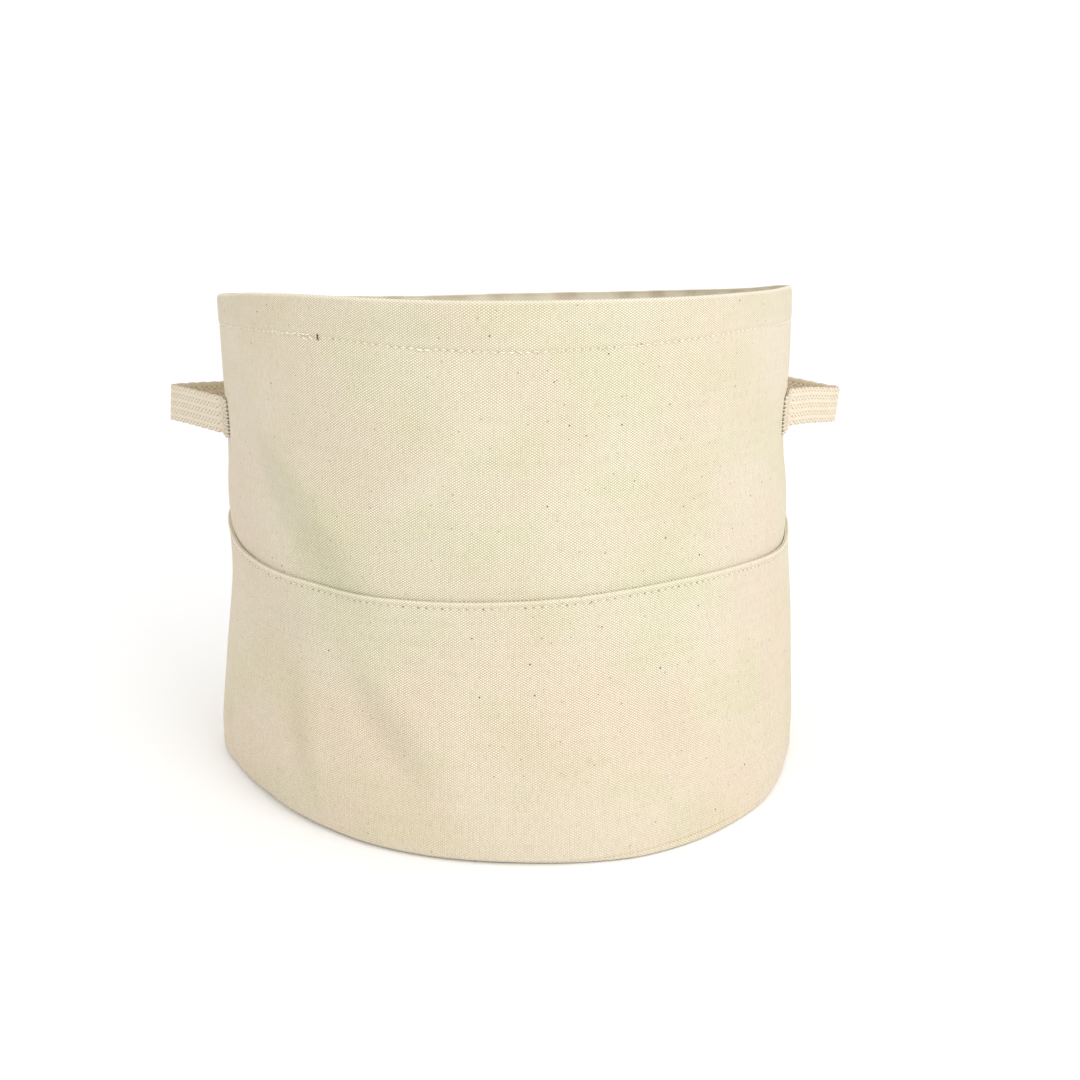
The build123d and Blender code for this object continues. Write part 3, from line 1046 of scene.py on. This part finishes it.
def pocket_panel(name, middle):
    """One pocket panel, swept half way round."""
    angle = half_round(middle, POCKET_SEAM_GAP)
    turned_from = POCKET_TOP - POCKET_HEM
    foot = np.array([0.0, 0.4, 1.0, 1.8, 2.8, 4.2])
    levels = panel_levels(foot, POCKET_TOP - 1.1, POCKET_ROW, turned_from)
    level, depth = panel_section(levels, POCKET_TOP, turned_from, square=0.35)
    height = band_height(angle, level)
    bead = BEAD * hill(level, (POCKET_ROW + POCKET_TOP) / 2 + 0.3, 1.3)
    groove = stitch_groove(angle, level - POCKET_ROW, 0.38)
    face = band_face(angle, height) + np.where(depth < PLY, bead - groove, 0)
    shift = 0.3 + POCKET_SHIFT * (depth > PLY * 0.95)
    crease = creases(angle, height)[1]
    patterns = panel_patterns(angle, level, POCKET_ROW, POCKET_COUNT, crease, height, shift)
    return swept(name, at(angle, face - depth, height), patterns, canvas)


front_pocket = pocket_panel("front_pocket_panel", 0.0)
back_pocket = pocket_panel("back_pocket_panel", np.pi)
print("pocket panel", len(front_pocket.data.polygons), "faces")

# %% [markdown]
# ## The base
# The base is two round plies inside the wall's foot. A circle mesh would do for a
# perfect round, but the foot is kicked out here and tucked in there, so the plies
# follow the foot's own outline. The upper ply billows slightly where it isn't sewn.
# Neither has a stitched row, so their "row" pattern is set 9 mm away from one.

# %% Base plies
BASE_RINGS = 46
BASE_GAP = 0.15
NO_ROW = 9
INNER_BILLOW = 0.25


def base_ply(name, low, billow):
    """One round ply of the base, out to the inside of the wall's foot."""
    angle = np.linspace(0, 2 * np.pi, 361)[:-1, None]
    share = np.linspace(0, 1, BASE_RINGS)
    share = np.concatenate([share, share[::-1]])
    top = np.arange(2 * BASE_RINGS) >= BASE_RINGS
    edge = wall_face(angle, low + PLY / 2) - PLY - BASE_GAP
    radius = edge * share
    wave = soft_dents(angle, 0 * share, 11, turns=3) * np.sin(np.pi * share)
    height = low + PLY * top + billow * (wave + 1.4 * np.sin(np.pi * share) ** 2)
    points = at(angle, radius, height)
    flat = points[..., :2] + 0.5 + np.where(top, 0.4, 0)[None, :, None]
    patterns = {"cloth": flat, "row": flat * 0 + NO_ROW, "shade_and_height": flat * 0}
    return swept(name, points, patterns, canvas, closed=True)


outer_ply = base_ply("base_outer_ply", 0.0, 0.0)
inner_ply = base_ply("base_inner_ply", PLY, INNER_BILLOW)
print("base plies", outer_ply.name, inner_ply.name)

# %% [markdown]
# ## The binding round the base seam
# Inside, the raw edges of the base seam are bound in a folded tape that stands up round
# the floor. A bevelled curve could run round, but it would cut into the uneven wall, so
# the tape is a swept section that follows the wall's inner face.

# %% Base binding
BINDING_FOOT = 1.95
BINDING_TOP = 12.9
BINDING_THICK = 2.4
TAPE_GAP = 0.2


def round_section(low, high, thick, count):
    """Heights and depths of a flat tape's section with rounded edges."""
    half = thick / 2
    face = np.linspace(low + half, high - half, count)
    turn = np.linspace(-QUARTER_TURN, QUARTER_TURN, 7)[1:-1]
    top = high - half + half * np.cos(turn)
    foot = low + half - half * np.cos(turn)
    height = np.concatenate([face, top, face[::-1], foot])
    depth = np.concatenate([0 * face, half + half * np.sin(turn), 0 * face + thick])
    return height, np.concatenate([depth, half - half * np.sin(turn)])


def binding_wave(angle):
    """The binding isn't quite flat: it waves in and out as it goes round."""
    return 0.35 * np.cos(9 * angle + 1) * np.cos(5 * angle)


def binding_tape(name):
    """The folded tape round the base seam, against the wall's inner face."""
    angle = np.linspace(0, 2 * np.pi, 541)[:-1, None]
    height, depth = round_section(BINDING_FOOT, BINDING_TOP, BINDING_THICK, 9)
    face = wall_face(angle, height) - PLY - TAPE_GAP - binding_wave(angle) * (depth > 1)
    flat = np.stack([angle * GIRTH + 0 * height, height + depth + 0 * angle], -1) * MM
    return swept(name, at(angle, face - depth, height + 0 * angle), {"cloth": flat}, tape, closed=True)


binding = binding_tape("base_binding_tape")
print("binding", BINDING_TOP, "mm high")

# %% [markdown]
# ## The side seam tapes
# A flat tape covers the raw edges of each side seam, from the binding up to the hem.
# It could be a bent plane with a solidify modifier. As a swept section it gets rounded
# edges and a slight valley down its middle, where the seam lies under it.

# %% Side seam tapes
TAPE_HALF_ANGLE = np.radians(3.8)
TAPE_THICK = 1.1


def side_tape(name, middle):
    """The tape up one side seam, with rounded edges, from the binding to the hem."""
    foot, top = BINDING_TOP + 0.3, hem_row_line(middle) - 2.4
    height = np.linspace(foot, top, 120)[:, None]
    half_width = TAPE_HALF_ANGLE * GIRTH
    across, depth = round_section(-half_width, half_width, TAPE_THICK, 13)
    angle = middle + across / GIRTH
    valley = 0.5 * hill(across, 0, 3.0) * (depth > 0.9)
    face = wall_face(angle, height) - PLY - TAPE_GAP - valley
    flat = np.stack([height + 0 * across, across + depth + 0 * height], -1) * MM
    return swept(name, at(angle, face - depth, height + 0 * angle), {"cloth": flat}, tape)


right_tape = side_tape("right_side_tape", QUARTER_TURN)
left_tape = side_tape("left_side_tape", -QUARTER_TURN)
print("side tapes", round(2 * TAPE_HALF_ANGLE * GIRTH, 1), "mm wide")

# %% [markdown]
# ## The line of a webbing handle
# Each handle is one strap of heavy cotton webbing. Both ends lie flat on the wall and
# are sewn down, and the middle folds out into a flat loop with a sharp bend at its
# tip. Seen from above the strap's middle is four straight runs joined by round bends,
# and its corners come from the wall's girth.

# %% The strap's line
STRAP_WIDTH = 18.8
STRAP_THICK = 2.0
STRAP_LINE = 182.0
END_ANGLE = 20.8
FOOT_ANGLE = 16.8
APEX = 180.0
APEX_BEND = 4.5
FOOT_BEND = 7.0
STRAP_STEP = 0.45


def unit(vector):
    """The same direction with length 1."""
    return vector / np.linalg.norm(vector, axis=-1, keepdims=True)


def bent_line(corners, bends, step):
    """Evenly spaced points along straight runs joined by round bends."""
    corners = np.array(corners, float)
    line = [corners[:1]]
    for before, corner, after, bend in zip(corners, corners[1:], corners[2:], bends):
        back, ahead = unit(before - corner), unit(after - corner)
        half = np.arccos(np.dot(back, ahead)) / 2
        centre = corner + unit(back + ahead) * bend / np.sin(half)
        first = corner + back * bend / np.tan(half) - centre
        last = corner + ahead * bend / np.tan(half) - centre
        share = np.linspace(0, 1, 24)[:, None]
        line.append(centre + unit(first * (1 - share) + last * share) * bend)
    line = np.concatenate(line + [corners[-1:]])
    run = np.concatenate([[0], np.cumsum(np.linalg.norm(np.diff(line, axis=0), axis=1))])
    even = np.linspace(0, run[-1], int(run[-1] / step))
    return np.stack([np.interp(even, run, line[:, i]) for i in (0, 1)], -1), even


def strap_corners(side):
    """Corners of the strap's middle line: sewn end, foot, apex, foot, sewn end."""
    wall = wall_girth(STRAP_LINE) + STRAP_THICK / 2 + 0.6
    turns = np.radians((END_ANGLE, FOOT_ANGLE))
    front = [(side * wall * np.cos(turn), -wall * np.sin(turn)) for turn in turns]
    rear = [(x, -y) for x, y in front[::-1]]
    return front + [(side * APEX, 0)] + rear


strap_bends = [FOOT_BEND, APEX_BEND, FOOT_BEND]
strap_run = bent_line(strap_corners(1), strap_bends, STRAP_STEP)[1][-1]
print("each strap is", round(strap_run, 1), "mm long")

# %% [markdown]
# ## The strap's section and ribs
# The webbing has nine ribs between smooth selvages, and each rib is a twisted cord. A displace modifier
# could raise them from a texture, but here the section is drawn with four points to a rib and the relief is
# a formula, so it meets the finish's painted shade in the gaps.
# At the cut ends the strap is squeezed thinner by its tacks.

# %% The strap's section
RIBS = 9
EDGE_ROUND = 0.7
SELVAGE = 1.1
CUT_RUN = 2.5


def strap_section():
    """Places across the strap's section, and which face each is on (1 out, -1 in)."""
    flat_half = STRAP_WIDTH / 2 - EDGE_ROUND
    face = np.linspace(-flat_half, flat_half, 4 * RIBS + 3)
    turn = np.linspace(-QUARTER_TURN, QUARTER_TURN, 6)[1:-1]
    edge = flat_half + EDGE_ROUND * np.cos(turn)
    round_edge = -np.sin(turn)
    across = np.concatenate([face, edge, face[::-1], -edge])
    lift = np.concatenate([1 + 0 * face, round_edge, -1 + 0 * face, -round_edge])
    return np.roll(across, 2), np.roll(lift, 2)


def strap_relief(run, across, lift):
    """Ribs and their twist on the strap's flat faces, in millimetres."""
    rib = np.abs(np.cos(np.pi * across / RIB))
    inside_selvage = np.clip((STRAP_WIDTH / 2 - SELVAGE - np.abs(across)) / 0.4, 0, 1)
    twist = np.cos(2 * np.pi * (run / TWIST + lift * across / RIB * 0.5))
    cords = 0.05 * (rib - 1) * (1 + 0.9 * twist) + 0.12 * twist * rib
    return cords * inside_selvage * (np.abs(lift) == 1)


def strap_off_line(run, length, across, lift):
    """How far each place stands off the strap's middle line, less at the cut ends."""
    off = lift * (STRAP_THICK / 2 - 0.05 + strap_relief(run, across, lift))
    cut = np.clip(1 - np.minimum(run, length - run) / CUT_RUN, 0, 1)
    return off * (1 - 0.62 * cut) - 0.72 * cut


print("the strap's section has", len(strap_section()[0]), "points")

# %% [markdown]
# ## The two handles
# The strap is shaped twice, once as the free loop and once lying on the wall, and the two are blended near
# its feet, so it stays one piece. Each handle droops and leans in its own way, so the heights of its middle
# line and its lean are given along its run, from the front end at 0 to the rear end at 100.
# Its selvages wave in and out a little, as they do where webbing has been bent.

# %% Webbing handles
SEAT_GAP = 0.15
SEWN_RUN = 16.5
LIFT_RUN = 7.0
SELVAGE_WAVE = 0.16


def free_loop(line, side, out, height):
    """The strap's places where it stands free of the wall, in millimetres."""
    ahead = unit(np.gradient(line, axis=0))
    outward = side * np.stack([ahead[:, 1], -ahead[:, 0]], -1)
    plan = line[:, None] + outward[:, None] * out[..., None]
    return np.concatenate([plan, height[..., None]], -1)


def sewn_ends(line, across, off, height):
    """The strap's places if it lay flat on the wall, in millimetres."""
    turn = np.arctan2(line[:, 0], -line[:, 1])[:, None]
    seat = wall_face(turn + 0 * across, height) + SEAT_GAP + STRAP_THICK / 2 + off
    return at(turn, seat, height) / MM


def handle_strap(name, side, heights, leans):
    """One whole strap at a side, from centre heights and leans along it."""
    line, along = bent_line(strap_corners(side), strap_bends, STRAP_STEP)
    run, length = along[:, None], along[-1]
    across, lift = strap_section()
    off = strap_off_line(run, length, across, lift)
    middle = smooth_line(heights)(run / length * 100)
    lean = np.radians(smooth_line(leans)(run / length * 100))
    wave = SELVAGE_WAVE * np.sin(run * 0.9 + 1.3 * side)
    wide = across + wave * np.sign(across) * (np.abs(across) > 8)
    height = middle + np.cos(lean) * wide - np.sin(lean) * off
    free = free_loop(line, side, np.cos(lean) * off + np.sin(lean) * wide, height)
    sewn = sewn_ends(line, across, off, height)
    from_end = np.minimum(run, length - run)[..., None]
    hold = np.clip((SEWN_RUN - from_end) / LIFT_RUN, 0, 1)
    hold = hold * hold * (3 - 2 * hold)
    points = (free * (1 - hold) + sewn * hold) * MM
    pattern = across + 10 * RIB + 15 * RIB * (lift < 0)
    flat = np.stack([run + 0 * across, pattern + 0 * run], -1) * MM
    return swept(name, points, {"cloth": flat}, webbing), points


left_strap, left_points = handle_strap(
    "left_handle_strap", -1,
    [(0, 180.6), (12, 181.6), (50, 182.9), (84, 181.3), (100, 181.0)],
    [(0, 0), (15, 0), (50, -5), (85, 0), (100, 0)])
right_strap, right_points = handle_strap(
    "right_handle_strap", 1,
    [(0, 181.2), (9, 183.9), (22, 183.4), (50, 180.6), (78, 183.4), (100, 182.6)],
    [(0, 0), (20, 0), (50, 5), (80, 0), (100, 0)])
print("strap", len(left_strap.data.polygons), "faces")

# %% [markdown]
# ## Sewing thread
# Lockstitch shows as short lengths of thread that dip into the cloth at each needle
# hole. A curve with a bevel could draw a row, but each stitch has its own rise and
# thickness, so every one is a small tapered tube.

# %% Lengths of thread
TUBE_SIDES = 6


def thread_runs(name, runs, thick, finish):
    """Short lengths of thread as one piece, each a tapered round tube along its points."""
    runs = np.array(runs)
    count, stations = runs.shape[:2]
    ahead = unit(np.gradient(runs, axis=1))
    side = unit(np.cross(ahead, (0.31, 0.47, 0.83)))
    other = np.cross(side, ahead)
    share = np.linspace(0, 1, stations)
    taper = 0.45 + 0.55 * np.sqrt(np.sin(np.pi * share))
    thick = np.broadcast_to(thick, (count,))[:, None, None, None] * taper[None, :, None, None] / 2
    turn = np.linspace(0, 2 * np.pi, TUBE_SIDES + 1)[:-1][None, None, :, None]
    ring = np.cos(turn) * side[:, :, None] + np.sin(turn) * other[:, :, None]
    points = runs[:, :, None] + thick * MM * ring
    number = np.arange(count * stations * TUBE_SIDES).reshape(count, stations, TUBE_SIDES)
    here, after = number[:, :-1], number[:, 1:]
    quads = np.stack([here, after, np.roll(after, -1, 2), np.roll(here, -1, 2)], -1)
    ends = number[:, 0, ::-1].tolist() + number[:, -1].tolist()
    length = np.linalg.norm(runs[:, -1] - runs[:, 0], axis=-1)[:, None, None]
    run, round_way = share[None, :, None] * length, turn[..., 0]
    flat = np.stack([run + 0 * round_way, round_way * 0.2 * MM + 0 * run], -1)
    return make_piece(name, points, quads.reshape(-1, 4).tolist() + ends, finish, {"cloth": flat})


print("thread in tubes of", TUBE_SIDES, "sides")

# %% [markdown]
# ## A row of stitches
# A row is told how high it runs, which face it lies on and which way that face looks.
# Copies of one stitch along a line would look stamped, so each one drifts, slopes and
# rises by its own small throw of the dice. A row can also be given a mess: how loose
# and knotted its stitches are at each place.

# %% Row of stitches
THREAD = 0.42
STITCH_SHOWN = 0.72
STITCH_SUNK = 0.20


def row_of_stitches(first, last, height, face, facing, seed, pitch=STITCH, rise=0.14, mess=None):
    """Stitches along a row on a face: their points and their thicknesses."""
    dice = np.random.default_rng(seed)
    step = pitch / GIRTH
    start = (np.arange(np.ceil(first / step), np.floor(last / step)) + 0.14) * step
    count = len(start)
    share = np.linspace(0, 1, 7)
    angle = start[:, None] + share * STITCH_SHOWN * step
    loose = np.ones(count) if mess is None else mess(start)
    drift = (dice.normal(0, 0.09, count) * loose)[:, None]
    slope = (dice.normal(0, 0.16, count) * loose)[:, None]
    up = height(angle) + drift + slope * (share - 0.5)
    arch = np.sin(np.pi * share) ** 0.6
    peak = (rise * (0.3 + 0.7 * loose) * dice.uniform(0.8, 1.2, count))[:, None]
    lift = peak * arch - STITCH_SUNK * (1 - arch)
    thick = THREAD * dice.uniform(0.9, 1.1, count) * (0.76 + 0.24 * loose)
    return at(angle, face(angle, up) + facing * lift, up), thick


print("thread of", THREAD, "mm")

# %% [markdown]
# ## The rim row
# One row of stitches holds the hem. It shows outside and inside, and at the left front
# it was started again over itself and left knotted, with one dark burnt thread end.
# The mess is a few soft hills round the rim, so it comes and goes as real stitching
# does.

# %% Rim row
RIM_KNOTS = (
    # degrees from the front, spread in degrees, how loose
    (-36, 1.8, 3.4),
    (-41, 3.0, 1.6),
    (-14.4, 2.2, 4.6),
    (1.5, 3.5, 2.6),
    (20, 4.0, 1.2),
)


def rim_mess(angle):
    """How untidy the rim's stitches are: knots at a few places at the front."""
    degrees = degrees_from_front(angle)
    return 0.8 + sum(loose * hill(degrees, centre, spread) for centre, spread, loose in RIM_KNOTS)


def rim_row_outside(angle, height):
    """The bottom of the groove on the wall's outer face."""
    return wall_face(angle, height) - 0.27


def rim_row_inside(angle, height):
    """The turned hem's inner face."""
    return wall_face(angle, height) - FOLD - 0.02


def second_row_line(angle):
    """Height of the stitches sewn over the start of the row."""
    return hem_row_line(angle) + 0.35


def thread_nick():
    """The dark burnt end of a cut thread beside the knots of the rim row."""
    angle = np.radians(-33.1)
    height = hem_row_line(angle) + np.array([-1.3, -0.6, 0.0, 0.7, 1.5])
    angle = angle + np.array([0.7, 0.2, 0.0, 0.35, -0.2]) / GIRTH
    points = at(angle, wall_face(angle, height) + 0.12, height)
    return thread_runs("rim_thread_nick", [points], 0.75, burnt_thread)


rim_rows = [
    row_of_stitches(-np.pi, np.pi, hem_row_line, rim_row_outside, 1, 21, mess=rim_mess),
    row_of_stitches(-np.pi, np.pi, hem_row_line, rim_row_inside, -1, 22),
    row_of_stitches(np.radians(-45), np.radians(-34), second_row_line, rim_row_outside, 1, 23,
                    pitch=2.6, rise=0.2, mess=rim_mess),
]
rim_points, rim_thicks = (np.concatenate(part) for part in zip(*rim_rows))
rim_stitches = thread_runs("rim_stitches", rim_points, rim_thicks, thread)
nick = thread_nick()
print("rim stitches", len(rim_points))

# %% [markdown]
# ## Pocket, base and side rows
# The pocket rows run just under the bead, the base row goes through the binding, and
# each side tape has two upright rows. They use the same two helpers, and each only has
# to say how high it runs and on which face it lies.

# %% Pocket, base and side rows
BASE_ROW = 7.2


def pocket_row_height(angle):
    """Height of the row under a pocket's edge."""
    return band_height(angle, POCKET_ROW)


def pocket_row_face(angle, height):
    """The bottom of the groove on the pocket's outer face."""
    return band_face(angle, height) - 0.36


def pocket_stitches(name, middle, seed):
    """The row of stitches under a pocket's edge."""
    first, last = middle - QUARTER_TURN + 0.02, middle + QUARTER_TURN - 0.02
    runs, thick = row_of_stitches(first, last, pocket_row_height, pocket_row_face, 1, seed, rise=0.12)
    return thread_runs(name, runs, thick * 0.9, thread)


def base_row_height(angle):
    """The base row runs level."""
    return BASE_ROW + 0 * angle


def binding_face(angle, height):
    """Radius of the binding tape's inner face."""
    return wall_face(angle, height) - PLY - TAPE_GAP - BINDING_THICK - binding_wave(angle)


def side_stitches(name, middle, seed):
    """Two upright rows of stitches on a side tape."""
    dice = np.random.default_rng(seed)
    foot, top = BINDING_TOP + 2.5, hem_row_line(middle) - 4.5
    start = np.arange(foot, top - 3, 3.4)
    share = np.linspace(0, 1, 7)
    runs = []
    for offset in (-TAPE_HALF_ANGLE * 0.7, TAPE_HALF_ANGLE * 0.7):
        height = start[:, None] + share * 2.5
        angle = middle + offset + dice.normal(0, 0.0006, len(start))[:, None] + 0 * share
        arch = np.sin(np.pi * share) ** 0.6
        face = wall_face(angle, height) - PLY - TAPE_GAP - TAPE_THICK
        runs.append(at(angle, face - 0.14 * arch + STITCH_SUNK * (1 - arch), height))
    return thread_runs(name, np.concatenate(runs), THREAD, thread)


front_pocket_stitches = pocket_stitches("front_pocket_stitches", 0.0, 31)
back_pocket_stitches = pocket_stitches("back_pocket_stitches", np.pi, 32)
base_runs, base_thick = row_of_stitches(-np.pi, np.pi, base_row_height, binding_face, -1, 41, pitch=3.2)
base_stitches = thread_runs("base_stitches", base_runs, base_thick, thread)
left_side_stitches = side_stitches("left_side_stitches", -QUARTER_TURN, 51)
right_side_stitches = side_stitches("right_side_stitches", QUARTER_TURN, 52)
print("base stitches", len(base_runs))

# %% [markdown]
# ## Handle tacks
# The handles are tacked the way straps are sewn to duck: whip stitches wrap over each
# cut end, and two zigzag bars cross each foot. Their places are read off the strap's
# own mesh, so they ride on the ribs instead of floating over them.

# %% Handle tacks
TACK_THREAD = 0.72
BAR_STATIONS = (8, 22)
BAR_DEPTH = 4
WHIPS = 9
MIDDLE_RIB = 18


def curve_through(first, middle, last):
    """Seven points of a smooth bend from first to last, pulled towards the middle."""
    share = np.linspace(0, 1, 7)[:, None]
    return first * (1 - share) ** 2 + 2 * middle * share * (1 - share) + last * share**2


def whip_stitches(centre, out, back, dice):
    """Stitches that wrap over a strap's cut end."""
    last = centre.shape[1] - 1
    runs = []
    for place in np.linspace(1, last - 3, WHIPS).astype(int):
        jog = dice.normal(0, 0.15, 2) * MM
        top = centre[5, min(place + 2, last)] + out * (0.1 * MM) + back * jog[0]
        corner = centre[0, place] + out * (1.0 * MM) + back * (1.3 * MM)
        foot = centre[0, place] - out * (0.95 * MM) + back * (1.3 * MM + jog[1])
        runs.append(curve_through(top, corner, foot))
    return runs


def zigzag_bar(centre, out, station):
    """A bar of zigzag stitches across the strap."""
    sunk, proud = out * 0.05 * MM, out * 0.62 * MM
    runs = []
    for place in range(1, centre.shape[1] - 2, 2):
        start = centre[station, place] - sunk
        finish = centre[station + BAR_DEPTH, place + 1] - sunk
        runs.append(curve_through(start, (start + finish) / 2 + proud, finish))
        back_start = centre[station, place + 2] - sunk
        runs.append(curve_through(finish, (back_start + finish) / 2 + proud, back_start))
    return runs


def strap_tacks(name, points, seed):
    """Whip stitches over both cut ends and zigzag bars on both feet of a strap."""
    dice = np.random.default_rng(seed)
    across, lift = strap_section()
    outer, inner = np.flatnonzero(lift == 1), np.flatnonzero(lift == -1)[::-1]
    runs = []
    for rows in (points, points[::-1]):
        centre = rows[:, outer]
        out = unit(np.mean(centre[4] - rows[4][inner], axis=0))
        back = unit(centre[0, MIDDLE_RIB] - centre[8, MIDDLE_RIB])
        runs += whip_stitches(centre, out, back, dice)
        for station in BAR_STATIONS:
            runs += zigzag_bar(centre, out, station)
    return thread_runs(name, runs, TACK_THREAD, tack_thread)


left_tacks = strap_tacks("left_handle_tack_stitches", left_points, 61)
right_tacks = strap_tacks("right_handle_tack_stitches", right_points, 62)
print("tacks", left_tacks.name, right_tacks.name)

# %% [markdown]
# ## A floor to stand on
# The floor is a wide pale sheet. A ready-made plane would do, but four corners say plainly how low it lies:
# a hair under the base, so the two never share one level. It isn't part of the bucket.

# %% Floor
FLOOR_HALF = 6.0
FLOOR_DROP = 0.0004


def lay_floor():
    """A plain pale floor."""
    mesh = bpy.data.meshes.new("floor")
    far, low = FLOOR_HALF, -FLOOR_DROP
    corners = [(-far, -far, low), (far, -far, low), (far, far, low), (-far, far, low)]
    mesh.from_pydata(corners, [], [(0, 1, 2, 3)])
    paint = Finish("floor_white")
    paint.shader.inputs["Base Color"].default_value = pale(0.97, 0.97, 0.97)
    paint.shader.inputs["Roughness"].default_value = 1.0
    mesh.materials.append(paint.material)
    floor = bpy.data.objects.new("floor", mesh)
    bpy.context.scene.collection.objects.link(floor)
    return floor


lay_floor()
print("floor laid", FLOOR_DROP / MM, "mm under the base")

# %% [markdown]
# ## Pieces that ride on the bucket
# Each piece stands for plain solids of the frame, and rides on the body they belong to.
# The walls, the base, the tapes and most of the thread ride on the bucket itself.

# %% Pieces on the bucket
on_bucket = {
    front_panel: ("canvas", ["front_wall"]),
    back_panel: ("canvas", ["back_wall"]),
    outer_ply: ("canvas", ["base_outer_disc"]),
    inner_ply: ("canvas", ["base_inner_disc"]),
    binding: ("binding_tape", ["base_seam_binding"]),
    left_tape: ("binding_tape", ["left_side_seam_tape"]),
    right_tape: ("binding_tape", ["right_side_seam_tape"]),
    rim_stitches: ("thread", ["rim_hem_stitching"]),
    base_stitches: ("thread", ["base_seam_stitching"]),
    nick: ("thread", []),
    left_side_stitches: ("thread", ["left_side_seam_stitching"]),
    right_side_stitches: ("thread", ["right_side_seam_stitching"]),
    left_tacks: ("thread", ["left_handle_tacks"]),
    right_tacks: ("thread", ["right_handle_tacks"]),
}
for piece, (finish, nodes) in on_bucket.items():
    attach(piece, "bucket")
    if nodes:
        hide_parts(*nodes)
print("on the bucket:", len(on_bucket), "pieces")

# %% [markdown]
# ## The pockets and the straps
# Each pocket panel with its stitches, and each strap, has its place fixed into its points, and the frame's
# solids it stands for are hidden.

for name, side, panel, stitches in (("front", -1, front_pocket, front_pocket_stitches),
                                    ("back", 1, back_pocket, back_pocket_stitches)):
    for piece, finish, node in ((panel, "canvas", "band"), (stitches, "thread", "stitching")):
        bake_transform(piece)
        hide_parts(name + "_pocket_" + node)

for name, side, strap in (("left", -1, left_strap), ("right", 1, right_strap)):
    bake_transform(strap)
    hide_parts(name + "_handle_loop", name + "_handle_front_end", name + "_handle_rear_end")
